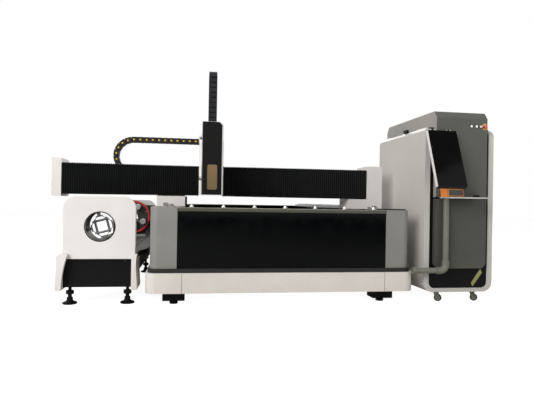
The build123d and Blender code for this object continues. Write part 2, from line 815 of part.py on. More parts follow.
# Tube unit: base with side skirts and rails
tube_x = bed_x - tube_left
axis_x = bed_x - chuck_x
axis_z = chuck_z
unit_y = bed_y + tube_front
chuck_back = unit_y + chuck_wall
base_x = bed_x - base_left
base_end = bed_back - tube_end_margin
skirt_top = leg_top - cover_wall
skirt_low = chuck_bottom - cover_wall
with BuildPart() as tube_base:
    block(base_x, base_x + base_width, unit_y + base_start, base_end, base_bottom, chuck_bottom)
    for side in (-1, 1):
        rail = axis_x + side * tube_rail_offset
        block(rail - tube_rail_width / 2, rail + tube_rail_width / 2, chuck_back + drum_length + bearing_length,
              base_end, chuck_bottom, chuck_bottom + tube_rail_height)
    with BuildSketch(Plane.XY.offset(skirt_low)):
        with BuildLine():
            right = tube_x + tube_width
            inner = base_x + base_width - leg_wall / 2
            flared = right + leg_wall + comb_wall
            Polyline((inner, chuck_back + gap), (right, chuck_back + gap), (right, unit_y + leg_depth - leg_wall))
            Spline(
                (right, unit_y + leg_depth - leg_wall),
                (flared, unit_y + 2 * leg_depth - leg_wall),
                tangents=((0, 1), (0, 1)),
            )
            Polyline((flared, unit_y + 2 * leg_depth - leg_wall), (flared, base_end), (inner, base_end),
                     (inner, chuck_back + gap))
        make_face()
    extrude(amount=skirt_top - skirt_low)
    block(tube_x, base_x + leg_wall / 2, chuck_back + gap, base_end, skirt_low, skirt_top)
    for start in tie_starts:
        block(base_x + base_width - leg_wall, bed_left - gap, unit_y + start, unit_y + start + tie_width,
              post_bottom + gap, chuck_bottom)
tube_base.part.label = "tube_base"
export_step(tube_base.part, "parts/tube_base.step")

# Black panel across the front of the base, between the legs
right_leg = tube_x + tube_width - leg_wall * 0.6
left_leg = tube_x - leg_lean
left_foot_x = tube_x - leg_flare


def leg(top_x, foot_x, y_low, y_high, top, shoulder=leg_wall, mode=Mode.ADD):
    """One white leg seen from the front: it leans out in a soft curve from
    its top to its foot."""
    with BuildSketch(front_plane(y_low)) as profile:
        with BuildLine():
            Line((foot_x, leg_bottom), (foot_x + leg_wall, leg_bottom))
            Spline((foot_x + leg_wall, leg_bottom), (top_x + shoulder, top), tangents=((0, 1), (0.3, 1)))
            Line((top_x + shoulder, top), (top_x + leg_wall / 3, top))
            Line((top_x + leg_wall / 3, top), (top_x, top - leg_wall / 3))
            Spline((top_x, top - leg_wall / 3), (foot_x, leg_bottom), tangents=((0, -1), (0, -1)))
        make_face()
    extrude(profile.sketch, amount=y_low - y_high, mode=mode)


with BuildPart() as tube_panel:
    panel_y = unit_y + base_start - cover_wall
    block(left_foot_x + leg_wall, right_leg - gap, panel_y, unit_y + base_start, panel_bottom, skirt_low)
    leg(left_leg + gap, left_foot_x + gap, panel_y, unit_y + base_start, leg_top, mode=Mode.SUBTRACT)
tube_panel.part.label = "tube_panel"
export_step(tube_panel.part, "parts/tube_panel.step")

leg_front = unit_y - base_start
with BuildPart() as tube_legs:
    leg(left_leg, left_foot_x, leg_front, unit_y - gap, leg_top, shoulder=leg_shoulder)
    leg(right_leg, right_leg, leg_front, unit_y - gap, leg_top)
    leg(left_leg, left_foot_x, unit_y - gap, unit_y + leg_depth - base_start, leg_top)
    leg(right_leg, right_leg, unit_y - gap, unit_y + leg_depth - base_start, leg_top)
    block(left_foot_x, right_leg + leg_wall, unit_y - gap, unit_y + leg_depth, skirt_low - gap, leg_top,
          mode=Mode.SUBTRACT)
tube_legs.part.label = "tube_legs"
export_step(tube_legs.part, "parts/tube_legs.step")

# Front chuck cover: a thick plate with rounded shoulders and the tube mouth
with BuildPart() as chuck_cover:
    with BuildSketch(front_plane(unit_y)) as chuck_outline:
        with Locations((tube_x + tube_width / 2, (chuck_bottom + chuck_top) / 2)):
            Rectangle(tube_width, chuck_top - chuck_bottom)
        fillet(chuck_outline.vertices().group_by(Axis.Y)[-1], chuck_corner)
        with Locations((axis_x, axis_z)):
            Circle(mouth_radius, mode=Mode.SUBTRACT)
    extrude(amount=-chuck_wall)
    chamfer(chuck_cover.faces().sort_by(Axis.Y)[0].outer_wire().edges().filter_by(GeomType.CIRCLE), cover_wall)
chuck_cover.part.label = "chuck_cover"
export_step(chuck_cover.part, "parts/chuck_cover.step")


def jaw_plane(number, y):
    """Plane across the chuck at this depth: local X along the jaw's bar, local
    Y outwards."""
    turn = radians(jaw_turn + 90 * number)
    return Plane(origin=(axis_x, y, axis_z), x_dir=(cos(turn), 0, sin(turn)), z_dir=(0, -1, 0))


def jaw_slots(first_y):
    """Four radial slots for the jaws' stems, cut through the drum's wall."""
    for number in range(4):
        y = first_y + (number % 2) * jaw_stagger
        with BuildSketch(jaw_plane(number, y - jaw_plate - gap)) as profile:
            with Locations((0, (jaw_yoke_height + 2 * drum_radius) / 2)):
                Rectangle(jaw_stem_width + 2 * gap, 2 * drum_radius - jaw_yoke_height)
        extrude(profile.sketch, amount=-2 * (jaw_plate + gap), mode=Mode.SUBTRACT)


def jaw(number, first_y):
    """One jaw: a round bar, an open fork behind it and the stem in the drum."""
    y = first_y + (number % 2) * jaw_stagger
    bar = jaw_opening / 2 + jaw_bar_radius
    half = jaw_bar_length / 2
    with BuildSketch(jaw_plane(number, y)) as profile:
        with Locations((0, bar + jaw_bar_radius / 2)):
            Rectangle(jaw_bar_length, jaw_bar_radius)
    plane = jaw_plane(number, y)
    revolve(profile.sketch, axis=Axis(plane.from_local_coords((0, bar, 0)), plane.x_dir))
    with BuildSketch(jaw_plane(number, y - jaw_plate / 2)) as profile:
        with BuildLine():
            Polyline(
                (-half * 0.92, bar),
                (-jaw_yoke_half, jaw_yoke_height - jaw_plate),
                (-jaw_yoke_half, jaw_yoke_height),
                (jaw_yoke_half, jaw_yoke_height),
                (jaw_yoke_half, jaw_yoke_height - jaw_plate),
                (half * 0.92, bar),
                close=True,
            )
        make_face()
        with BuildLine():
            Polyline(
                (-half * 0.66, bar + jaw_bar_radius * 1.3),
                (-jaw_yoke_half * 0.75, jaw_yoke_height - jaw_plate),
                (jaw_yoke_half * 0.75, jaw_yoke_height - jaw_plate),
                (half * 0.66, bar + jaw_bar_radius * 1.3),
                close=True,
            )
        make_face(mode=Mode.SUBTRACT)
    extrude(profile.sketch, amount=-jaw_plate)
    with BuildSketch(jaw_plane(number, y - jaw_plate)) as profile:
        with Locations((0, (jaw_yoke_height - jaw_plate / 2 + jaw_stem_reach) / 2)):
            Rectangle(jaw_stem_width, jaw_stem_reach - jaw_yoke_height + jaw_plate / 2)
    extrude(profile.sketch, amount=-2 * jaw_plate)


# Front chuck: the turning drum, four sliding jaws and the cradle with its drive
jaw_y = unit_y + jaw_depth
drum_front = chuck_back + gap
drum_back = drum_front + drum_length
with BuildPart() as front_drum:
    round_y(axis_x, axis_z, drum_front, drum_back, drum_radius)
    round_y(axis_x, axis_z, drum_front, drum_back, mouth_radius, mode=Mode.SUBTRACT)
    jaw_slots(jaw_y)
front_drum.part.label = "front_drum"
export_step(front_drum.part, "parts/front_drum.step")

for number in range(4):
    with BuildPart() as front_jaw:
        jaw(number, jaw_y)
    front_jaw.part.label = f"front_jaw_{number + 1}"
    export_step(front_jaw.part, f"parts/front_jaw_{number + 1}.step")

cradle_half = drum_radius + bearing_wall
cradle_y = drum_back - 3 * bearing_length
with BuildPart() as chuck_cradle:
    for y in (cradle_y, drum_back - bearing_length):
        round_y(axis_x, axis_z, y, y + bearing_length, cradle_half)
        block(axis_x - cradle_half, axis_x + cradle_half, y, y + bearing_length, chuck_bottom, axis_z)
    block(axis_x - cradle_half, axis_x + cradle_half, cradle_y, drum_back, chuck_bottom,
          axis_z - drum_radius - bearing_wall / 2)
    round_y(axis_x, axis_z, cradle_y, drum_back, drum_radius + bearing_gap, mode=Mode.SUBTRACT)
    motor_x = axis_x + cradle_half + bearing_length / 2
    round_y(motor_x, axis_z, drum_back - bearing_length, drum_back + bearing_length, bearing_length)
    block(axis_x + cradle_half - bearing_wall / 2, motor_x, drum_back - bearing_length, drum_back,
          axis_z - bearing_length / 2, axis_z + bearing_length / 2)
chuck_cradle.part.label = "chuck_cradle"
export_step(chuck_cradle.part, "parts/chuck_cradle.step")

# Rear chuck: a carriage on the base's rails, its drum with jaws and a red ring
rear_back = bed_y + rear_chuck_back
rear_front = rear_back - drum_length
rail_top = chuck_bottom + tube_rail_height
plate_y = rear_back - bearing_length
with BuildPart() as rear_carriage:
    with BuildSketch(front_plane(plate_y)) as rear_outline:
        with Locations((tube_x + tube_width / 2, (rail_top + gap + rear_plate_top) / 2)):
            Rectangle(tube_width - 2 * comb_wall, rear_plate_top - rail_top - gap)
        fillet(rear_outline.vertices().group_by(Axis.Y)[-1], chuck_corner)
    extrude(amount=-bearing_length)
    front_bearing = rear_front + bearing_length
    round_y(axis_x, axis_z, front_bearing, front_bearing + bearing_length, cradle_half)
    block(axis_x - cradle_half, axis_x + cradle_half, front_bearing, front_bearing + bearing_length,
          rail_top + gap, axis_z)
    block(axis_x - cradle_half, axis_x + cradle_half, front_bearing, rear_back,
          rail_top + gap, rail_top + 2 * comb_wall)
    for side in (-1, 1):
        rail = axis_x + side * tube_rail_offset
        for edge in (-1, 1):
            x = rail + edge * (tube_rail_width / 2 + gap + comb_wall / 2)
            block(x - comb_wall / 2, x + comb_wall / 2, front_bearing, rear_back,
                  chuck_bottom + comb_wall, rail_top + comb_wall)
    block(tube_x - comb_wall * 2, tube_x + tube_width + comb_wall * 2, plate_y, rear_back,
          chuck_bottom, skirt_top + gap, mode=Mode.SUBTRACT)
    round_y(axis_x, axis_z, front_bearing, rear_back, drum_radius + bearing_gap, mode=Mode.SUBTRACT)
rear_carriage.part.label = "rear_carriage"
export_step(rear_carriage.part, "parts/rear_carriage.step")

with BuildPart() as rear_drum:
    round_y(axis_x, axis_z, rear_front + bearing_wall / 2, rear_back, drum_radius)
    round_y(axis_x, axis_z, rear_front + bearing_wall / 2, rear_back, mouth_radius, mode=Mode.SUBTRACT)
    for number in range(4):
        jaw(number, rear_front + jaw_depth)
rear_drum.part.label = "rear_drum"
export_step(rear_drum.part, "parts/rear_drum.step")

with BuildPart() as rear_ring:
    round_y(axis_x, axis_z, rear_front, rear_front + bearing_wall / 2, rear_ring_radius)
    round_y(axis_x, axis_z, rear_front, rear_front + bearing_wall / 2, rear_bore_radius, mode=Mode.SUBTRACT)
    for number in range(4):
        turn = radians(clamp_turn + 90 * number)
        round_y(axis_x + clamp_reach * cos(turn), axis_z + clamp_reach * sin(turn),
                rear_front - clamp_length, rear_front, clamp_radius)
rear_ring.part.label = "rear_ring"
export_step(rear_ring.part, "parts/rear_ring.step")

# Levelling feet: black blocks on pads under the bed, flared pads on stems
# under the tube unit
with BuildPart() as levelling_feet:
    row_step = (bed_length - 2 * bed_foot_inset) / (bed_foot_row_count - 1)
    for side in (-1, 1):
        x = bed_x + side * (half_bed - bed_foot_inset)
        for row in range(bed_foot_row_count):
            y = bed_y + bed_foot_inset + row * row_step
            block(x - block_width / 2, x + block_width / 2, y - block_depth / 2, y + block_depth / 2,
                  pad_height, plinth_bottom)
            round_z(x, y, 0, pad_height, pad_radius, sides=small_sides)
    for x in (base_x, base_x + base_width - tube_foot_inset / 4):
        for row in range(bed_foot_row_count):
            y = unit_y + tube_foot_inset + row * (base_end - unit_y - 2 * tube_foot_inset) / 2
            round_z(x, y, 0, pad_height / 3, tube_foot_radius, sides=small_sides)
            with BuildSketch(Plane.XY.offset(pad_height / 3)) as cone:
                with Locations((x, y)):
                    round_outline(tube_foot_radius, small_sides)
            extrude(cone.sketch, amount=pad_height, taper=degrees(atan2(tube_foot_radius - tube_stem_radius, pad_height)))
            round_z(x, y, pad_height / 3, base_bottom, tube_stem_radius, sides=small_sides)
levelling_feet.part.label = "levelling_feet"
export_step(levelling_feet.part, "parts/levelling_feet.step")


# Control cabinet: a light shell of two wings and a floor, round the dark body
shell_right = bed_x + cabinet_right
shell_left = shell_right - cabinet_width
shell_x = (shell_left + shell_right) / 2
shell_y = bed_y + cabinet_front
shell_back = shell_y + cabinet_depth
inner_left = shell_left + frame_strip
inner_right = shell_right - frame_strip
inner_bottom = cabinet_bottom + frame_bar
with BuildPart() as cabinet_shell:
    with BuildSketch(front_plane(shell_y)) as shell_outline:
        with Locations((shell_x, (cabinet_bottom + cabinet_top) / 2)):
            Rectangle(cabinet_width, cabinet_top - cabinet_bottom)
        fillet(shell_outline.vertices().group_by(Axis.Y)[0], frame_radius)
        chamfer(shell_outline.vertices().group_by(Axis.Y)[-1], frame_strip * 0.6)
    extrude(amount=-cabinet_depth)
    with BuildSketch(front_plane(shell_y)) as shell_hollow:
        with Locations((shell_x, (inner_bottom + cabinet_top) / 2)):
            Rectangle(inner_right - inner_left, cabinet_top - inner_bottom)
        fillet(shell_hollow.vertices().group_by(Axis.Y)[0], frame_radius - frame_bar)
    extrude(amount=-cabinet_depth, mode=Mode.SUBTRACT)
    for y, turn in ((shell_y, 1), (shell_back, -1)):
        with BuildSketch(Plane.YZ.offset(shell_left)):
            with BuildLine():
                Polyline(
                    (y, cabinet_top - wing_chamfer),
                    (y, cabinet_top),
                    (y + turn * wing_chamfer, cabinet_top),
                    close=True,
                )
            make_face()
        extrude(amount=cabinet_width, mode=Mode.SUBTRACT)
cabinet_shell.part.label = "cabinet_shell"
export_step(cabinet_shell.part, "parts/cabinet_shell.step")

# Dark kick panel behind the rim, the full height of the opening
body_x = shell_x
body_front = shell_y - panel_proud
kick_y = body_front + panel_wall + gap
with BuildPart() as kick_panel:
    with BuildSketch(front_plane(kick_y)) as kick_outline:
        with Locations((body_x, (inner_bottom + cabinet_top) / 2)):
            Rectangle(inner_right - inner_left, cabinet_top - inner_bottom)
        fillet(kick_outline.vertices().group_by(Axis.Y)[0], frame_radius - frame_bar)
    extrude(amount=-kick_wall)
    block(inner_left, inner_right, kick_y, kick_y + kick_wall, cabinet_top - wing_chamfer, cabinet_top,
          mode=Mode.SUBTRACT)
kick_panel.part.label = "kick_panel"
export_step(kick_panel.part, "parts/kick_panel.step")

# Body box inside the wings; it stops short of the rear door
door_y = shell_back - rear_door_wall - gap
with BuildPart() as cabinet_body:
    with BuildSketch(front_plane(kick_y + kick_wall)) as body_outline:
        with Locations((body_x, (inner_bottom + cabinet_top) / 2)):
            Rectangle(inner_right - inner_left, cabinet_top - inner_bottom)
        fillet(body_outline.vertices().group_by(Axis.Y)[0], frame_radius - frame_bar)
    extrude(amount=kick_y + kick_wall - door_y)
cabinet_body.part.label = "cabinet_body"
export_step(cabinet_body.part, "parts/cabinet_body.step")

# Hood: the top and the upper front panel are one folded piece with a bevel
body_left = body_x - body_width / 2
body_right = body_x + body_width / 2
panel_back = body_front + panel_wall
hood_y = body_front + hood_bevel_depth
hood_side = hood_top - hood_bevel_height
upper_low = split_height + split_gap
button_places = (cabinet_end - start_inset, cabinet_end - stop_inset)
key_place = cabinet_end - key_inset
mushroom_place = cabinet_end - mushroom_inset
with BuildPart() as cabinet_hood:
    with BuildSketch(Plane.YZ.offset(body_left)):
        with BuildLine():
            Polyline(
                (body_front, upper_low),
                (body_front, hood_side),
                (hood_y, hood_top),
                (shell_back - hood_bevel_depth, hood_top),
                (shell_back, hood_side),
                (shell_back, cabinet_top),
                (panel_back, cabinet_top),
                (panel_back, upper_low),
                close=True,
            )
        make_face()
    extrude(amount=body_width)
    for x in (*button_places, key_place):
        round_y(x, button_height, body_front - bezel_proud, body_front, bezel_radius, sides=small_sides)
        round_y(x, button_height, body_front - bezel_proud, body_front + button_travel + bezel_proud,
                button_radius + gap, mode=Mode.SUBTRACT, sides=small_sides)
    round_y(mushroom_place, button_height, body_front - bezel_proud, body_front, mushroom_ring_radius,
            sides=small_sides)
    for x in (*button_places, mushroom_place):
        round_y(x, button_height, body_front - bezel_proud, body_front + button_bore_depth,
                button_stem + bearing_gap, mode=Mode.SUBTRACT, sides=small_sides)
    round_y(key_place, button_height, body_front, body_front + button_bore_depth,
            button_stem + bearing_gap, mode=Mode.SUBTRACT)
cabinet_hood.part.label = "cabinet_hood"
export_step(cabinet_hood.part, "parts/cabinet_hood.step")

# Lower front panel with rounded feet; it is lifted off, behind the conduit
with BuildPart() as lower_panel:
    with BuildSketch(front_plane(body_front)) as lower_outline:
        with Locations((body_x, (lower_panel_bottom + split_height) / 2)):
            Rectangle(body_width, split_height - lower_panel_bottom)
        fillet(lower_outline.vertices().group_by(Axis.Y)[0], lower_panel_radius)
    extrude(amount=-panel_wall)
lower_panel.part.label = "lower_panel"
export_step(lower_panel.part, "parts/lower_panel.step")

# Rear service door between the wings, on a hinge pin at its right side
door_left = inner_left + gap
hinge_x = inner_right - hinge_radius - gap
with BuildPart() as rear_door:
    block(door_left, hinge_x, door_y + gap, shell_back, inner_bottom + frame_radius, cabinet_top - wing_chamfer)
    round_z(hinge_x, shell_back - hinge_radius, inner_bottom + frame_radius, cabinet_top - wing_chamfer,
            hinge_radius)
    block(door_left + leg_wall, door_left + leg_wall + comb_wall, shell_back, shell_back + comb_wall,
          split_height, split_height + 2 * shelf_reach / 3)
rear_door.part.label = "rear_door"
export_step(rear_door.part, "parts/rear_door.step")

# Push buttons, key switch and emergency stop, seen from the front
for name, x in (("start_button", button_places[0]), ("stop_button", button_places[1])):
    with BuildPart() as button:
        round_y(x, button_height, body_front - button_proud, body_front, button_radius, sides=small_sides)
        round_y(x, button_height, body_front, body_front + button_bore_depth - 2 * button_travel, button_stem,
                sides=small_sides)
    button.part.label = name
    export_step(button.part, f"parts/{name}.step")

with BuildPart() as key_switch:
    round_y(key_place, button_height, body_front - bezel_proud, body_front, button_radius, sides=small_sides)
    round_y(key_place, button_height, body_front, body_front + button_bore_depth - 2 * button_travel,
            button_stem)
    block(key_place - bezel_proud / 2, key_place + bezel_proud / 2, body_front - 2 * button_radius,
          body_front - bezel_proud, button_height - button_radius * 0.8, button_height + button_radius * 0.8)
key_switch.part.label = "key_switch"
export_step(key_switch.part, "parts/key_switch.step")

mushroom_back = body_front - bezel_proud - mushroom_travel - gap
with BuildPart() as emergency_stop:
    round_y(mushroom_place, button_height, mushroom_back - mushroom_depth, mushroom_back, mushroom_radius,
            sides=small_sides)
    chamfer(emergency_stop.faces().sort_by(Axis.Y)[0].edges(), mushroom_depth / 3)
    round_y(mushroom_place, button_height, mushroom_back, body_front + button_bore_depth - 2 * mushroom_travel,
            button_stem)
emergency_stop.part.label = "emergency_stop"
export_step(emergency_stop.part, "parts/emergency_stop.step")

# Monitor: a tall slab that leans out at its foot, hung by two lugs
lean = radians(monitor_tilt)
screen_left = cabinet_end - monitor_inset
screen_y = shell_y - monitor_stand_off
pivot_rise = 14
lug_radius = 10
pin_radius_monitor = 5
lug_width = 24
cheek_wall = 8
pivot_y = screen_y + pivot_rise * sin(lean) + monitor_wall / 2 * cos(lean)
pivot_z = monitor_top + pivot_rise * cos(lean) - monitor_wall / 2 * sin(lean)
lug_places = (shell_left + frame_strip / 2, body_left + lug_width * 4)
screen_plane = Plane(
    origin=(screen_left, screen_y, monitor_top),
    x_dir=(1, 0, 0),
    z_dir=(0, -cos(lean), sin(lean)),
)
with BuildPart() as monitor:
    with BuildSketch(screen_plane) as screen_outline:
        with Locations((monitor_width / 2, -monitor_height / 2)):
            Rectangle(monitor_width, monitor_height)
        fillet(screen_outline.vertices(), lug_radius / 2)
    extrude(amount=-monitor_wall)
    for x in lug_places:
        round_x(pivot_y, pivot_z, x - lug_width / 2, x + lug_width / 2, lug_radius)
        with BuildSketch(screen_plane.offset(lug_radius - monitor_wall / 2)):
            with Locations((x - screen_left, 0)):
                Rectangle(lug_width, 2 * pivot_rise)
        extrude(amount=-2 * lug_radius)
        round_x(pivot_y, pivot_z, x - lug_width / 2, x + lug_width / 2, pin_radius_monitor + bearing_gap,
                mode=Mode.SUBTRACT)
monitor.part.label = "monitor"
export_step(monitor.part, "parts/monitor.step")

with BuildPart() as monitor_bracket:
    for x, wall_y in zip(lug_places, (shell_y, body_front)):
        for side in (-1, 1):
            cheek = x + side * (lug_width / 2 + gap + cheek_wall / 2)
            round_x(pivot_y, pivot_z, cheek - cheek_wall / 2, cheek + cheek_wall / 2, lug_radius)
            block(cheek - cheek_wall / 2, cheek + cheek_wall / 2, pivot_y, wall_y,
                  pivot_z - lug_radius, pivot_z + lug_radius)
        reach = lug_width / 2 + gap + cheek_wall
        round_x(pivot_y, pivot_z, x - reach, x + reach, pin_radius_monitor)
        block(x - reach, x + reach, wall_y - cheek_wall / 2, wall_y, pivot_z - 2 * lug_radius,
              pivot_z + lug_radius)
monitor_bracket.part.label = "monitor_bracket"
export_step(monitor_bracket.part, "parts/monitor_bracket.step")

# Desk shelf with a turned-up back edge, and what lies on it
desk_left = cabinet_end - shelf_inset
shelf_back = body_front
shelf_low = shelf_top - shelf_wall
with BuildPart() as desk_shelf:
    with BuildSketch(Plane.XY.offset(shelf_low)) as shelf_outline:
        with Locations((desk_left + shelf_width / 2, shelf_back - shelf_reach / 2)):
            Rectangle(shelf_width, shelf_reach)
        fillet(shelf_outline.vertices().group_by(Axis.Y)[0], 2 * shelf_wall)
    extrude(amount=shelf_wall)
desk_shelf.part.label = "desk_shelf"
export_step(desk_shelf.part, "parts/desk_shelf.step")

pendant_width = 62
pendant_wall = 34
pendant_height = 80
pendant_lean = 16
pendant_x = bed_x + 1533
pendant_y = body_front - pendant_wall - pendant_lean - 2 * gap
with BuildPart() as pendant:
    with BuildSketch(Plane.YZ.offset(pendant_x - pendant_width / 2)):
        with BuildLine():
            Polyline(
                (pendant_y, shelf_top),
                (pendant_y + pendant_wall, shelf_top),
                (pendant_y + pendant_wall + pendant_lean, shelf_top + pendant_height),
                (pendant_y + pendant_lean + pendant_wall / 3, shelf_top + pendant_height),
                close=True,
            )
        make_face()
    extrude(amount=pendant_width)
    fillet(pendant.edges().filter_by(Axis.Z, reverse=True).filter_by(Axis.X).group_by(Axis.Z)[-1], gap * 10)
pendant.part.label = "pendant"
export_step(pendant.part, "parts/pendant.step")

mouse_length = 76
mouse_width = 44
mouse_height = 24
mouse_x = bed_x + 1815
mouse_y = body_front - shelf_reach / 2
with BuildPart() as mouse:
    with BuildSketch(Plane.XY.offset(shelf_top)):
        with Locations((mouse_x, mouse_y)):
            Ellipse(mouse_length / 2, mouse_width / 2)
    extrude(amount=mouse_height, taper=12)
mouse.part.label = "mouse"
export_step(mouse.part, "parts/mouse.step")

# Conduit: a pipe from the bed's side along the front of the cabinet, an elbow
# and a riser that carries the shelf's front
pipe_x = cabinet_end - conduit_inset
pipe_y = bed_y + conduit_y
pipe_start = bed_right + conduit_start
bend_x = pipe_x - elbow_radius
bend_z = conduit_height + elbow_radius
fitting_length = 2 * elbow_radius / 3
with BuildPart() as conduit:
    round_x(pipe_y, conduit_height, pipe_start, bend_x, conduit_radius, sides=small_sides)
    round_z(pipe_x, pipe_y, bend_z, shelf_low, conduit_radius, sides=small_sides)
    for run in (pipe_start, bend_x - fitting_length):
        round_x(pipe_y, conduit_height, run, run + fitting_length, fitting_radius, sides=small_sides)
    round_z(pipe_x, pipe_y, bend_z, bend_z + fitting_length, fitting_radius, sides=small_sides)
    with BuildLine() as bend_path:
        ThreePointArc(
            (bend_x, pipe_y, conduit_height),
            (bend_x + elbow_radius * sin(pi / 4), pipe_y, bend_z - elbow_radius * cos(pi / 4)),
            (pipe_x, pipe_y, bend_z),
        )
    with BuildSketch(Plane(origin=(bend_x, pipe_y, conduit_height), z_dir=(1, 0, 0))):
        round_outline(fitting_radius, small_sides)
    sweep(path=bend_path.line)
conduit.part.label = "conduit"
export_step(conduit.part, "parts/conduit.step")

# Small black signal lamps on the left wing, with their short lead to the hood
lamp_x = shell_left + frame_strip / 2
lamp_y = shell_y + cabinet_depth * 0.42
lamp_radius = 17
lamp_pitch = 46
with BuildPart() as signal_lamps:
    block(lamp_x - lamp_radius / 2, lamp_x + lamp_radius / 2, lamp_y - lamp_pitch, lamp_y + lamp_pitch,
          cabinet_top, cabinet_top + lamp_radius / 2)
    for side in (-1, 1):
        round_x(lamp_y + side * lamp_pitch / 2, cabinet_top + lamp_radius, lamp_x - lamp_radius,
                lamp_x + lamp_radius / 2, lamp_radius, sides=small_sides)
signal_lamps.part.label = "signal_lamps"
export_step(signal_lamps.part, "parts/signal_lamps.step")


def caster_plane(x, y, turn):
    """Floor plane at a caster's swivel axis, local X along its trail."""
    return Plane(origin=(x, y, 0), x_dir=(cos(radians(turn)), sin(radians(turn)), 0), z_dir=(0, 0, 1))


def caster_axle(x, y, turn):
    """Plane across the wheel's middle, its normal along the axle."""
    trail = radians(turn)
    centre = (x + caster_trail * cos(trail), y + caster_trail * sin(trail), caster_wheel_radius)
    return Plane(origin=centre, x_dir=(cos(trail), sin(trail), 0), z_dir=(sin(trail), -cos(trail), 0))


def fork(x, y, turn):
    """A caster's fork: a turning head, two legs and the axle between them."""
    top = cabinet_bottom - gap
    leg_half = caster_wheel_width / 2 + gap * 3
    with BuildSketch(Plane.XY.offset(top - 2 * caster_wall)) as profile:
        with Locations((x, y)):
            round_outline(caster_plate_radius)
    extrude(profile.sketch, amount=2 * caster_wall)
    for side in (-1, 1):
        near = side * leg_half if side > 0 else side * leg_half - caster_wall
        with BuildSketch(caster_axle(x, y, turn).offset(near)) as profile:
            with BuildLine():
                high = top - caster_wall - caster_wheel_radius
                Polyline(
                    (-caster_plate_radius * 0.8 - caster_trail, high),
                    (-caster_plate_radius * 0.3 - caster_trail / 2, -caster_plate_radius * 0.3),
                    (caster_plate_radius * 0.4, -caster_plate_radius * 0.4),
                    (caster_plate_radius * 0.4, high),
                    close=True,
                )
            make_face()
        extrude(profile.sketch, amount=caster_wall)
    with BuildSketch(caster_plane(x, y, turn).offset(top - 2 * caster_wall)) as profile:
        with Locations(((caster_plate_radius * 0.4 - caster_plate_radius * 0.8) / 2 + caster_trail / 2, 0)):
            Rectangle(caster_plate_radius * 1.2 + caster_trail, 2 * leg_half + 2 * caster_wall)
    extrude(profile.sketch, amount=caster_wall)
    with BuildSketch(caster_axle(x, y, turn).offset(-leg_half - caster_wall)) as profile:
        round_outline(caster_axle_radius)
    extrude(profile.sketch, amount=2 * leg_half + 2 * caster_wall)


def wheel(x, y, turn):
    """A caster's wheel: a rounded tread on a hub with the axle's bore."""
    with BuildSketch(caster_axle(x, y, turn).offset(-caster_wheel_width / 2)) as profile:
        round_outline(caster_wheel_radius, 2 * small_sides)
        round_outline(caster_axle_radius + bearing_gap, bore=True, mode=Mode.SUBTRACT)
    extrude(profile.sketch, amount=caster_wheel_width)


caster_front = shell_y + caster_inset_y
caster_back = shell_back - caster_inset_y
caster_left = shell_left + caster_inset_x
caster_right = shell_right - caster_inset_x
for name, x in (("left", caster_left), ("right", caster_right)):
    with BuildPart() as front_fork:
        fork(x, caster_front, caster_turn)
    front_fork.part.label = f"front_fork_{name}"
    export_step(front_fork.part, f"parts/front_fork_{name}.step")
    with BuildPart() as front_wheel:
        wheel(x, caster_front, caster_turn)
    front_wheel.part.label = f"front_wheel_{name}"
    export_step(front_wheel.part, f"parts/front_wheel_{name}.step")
    with BuildPart() as rear_wheel:
        wheel(x, caster_back, 90)
    rear_wheel.part.label = f"rear_wheel_{name}"
    export_step(rear_wheel.part, f"parts/rear_wheel_{name}.step")

with BuildPart() as rear_forks:
    for x in (caster_left, caster_right):
        fork(x, caster_back, 90)
rear_forks.part.label = "rear_forks"
export_step(rear_forks.part, "parts/rear_forks.step")
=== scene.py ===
# %% [markdown]
# # An open flatbed laser cutting machine, dressed in Blender
# The machine comes in as a fixed frame of CAD pieces in metres. This lesson gives every
# piece its finish, adds small forms, and sets the floor, the light and the camera. Nothing
# that is added may stand out of it.

# %% Load the frame
import math

import bmesh
import bpy
from mathutils import Matrix, Vector


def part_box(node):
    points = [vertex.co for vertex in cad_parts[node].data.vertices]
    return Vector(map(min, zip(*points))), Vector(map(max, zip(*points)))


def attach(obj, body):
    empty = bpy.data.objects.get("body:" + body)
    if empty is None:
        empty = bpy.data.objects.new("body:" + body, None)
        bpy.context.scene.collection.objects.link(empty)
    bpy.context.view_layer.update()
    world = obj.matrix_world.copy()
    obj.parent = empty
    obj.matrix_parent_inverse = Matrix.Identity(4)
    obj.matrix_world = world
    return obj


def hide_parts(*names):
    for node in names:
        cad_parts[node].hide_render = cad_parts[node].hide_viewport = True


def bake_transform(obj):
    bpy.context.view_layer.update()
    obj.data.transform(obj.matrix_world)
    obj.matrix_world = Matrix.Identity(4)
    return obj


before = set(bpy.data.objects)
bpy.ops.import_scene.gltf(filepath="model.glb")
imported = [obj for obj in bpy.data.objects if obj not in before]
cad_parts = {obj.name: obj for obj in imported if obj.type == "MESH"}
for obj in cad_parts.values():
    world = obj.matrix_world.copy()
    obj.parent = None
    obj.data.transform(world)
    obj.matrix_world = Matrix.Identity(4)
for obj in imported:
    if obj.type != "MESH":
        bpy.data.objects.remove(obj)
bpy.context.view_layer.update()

# %% New meshes and objects
def mesh_from(name, form):
    """A mesh with the shape of a bmesh, which is freed."""
    mesh = bpy.data.meshes.new(name)
    form.to_mesh(mesh)
    form.free()
    return mesh


def add_object(name, data):
    """A new object in the scene."""
    made = bpy.data.objects.new(name, data)
    bpy.context.scene.collection.objects.link(made)
    return made


print("helpers for objects ready")

# %% [markdown]
# ## The camera
# The camera stood in front of the bed, left of its middle, near table height. The points
# where the lines along the bed and across it run together fix its lens and its view, and
# the size of the machine its place. Three turns set the view: a slight roll, the tilt up
# from looking at the floor, and the turn to the right.

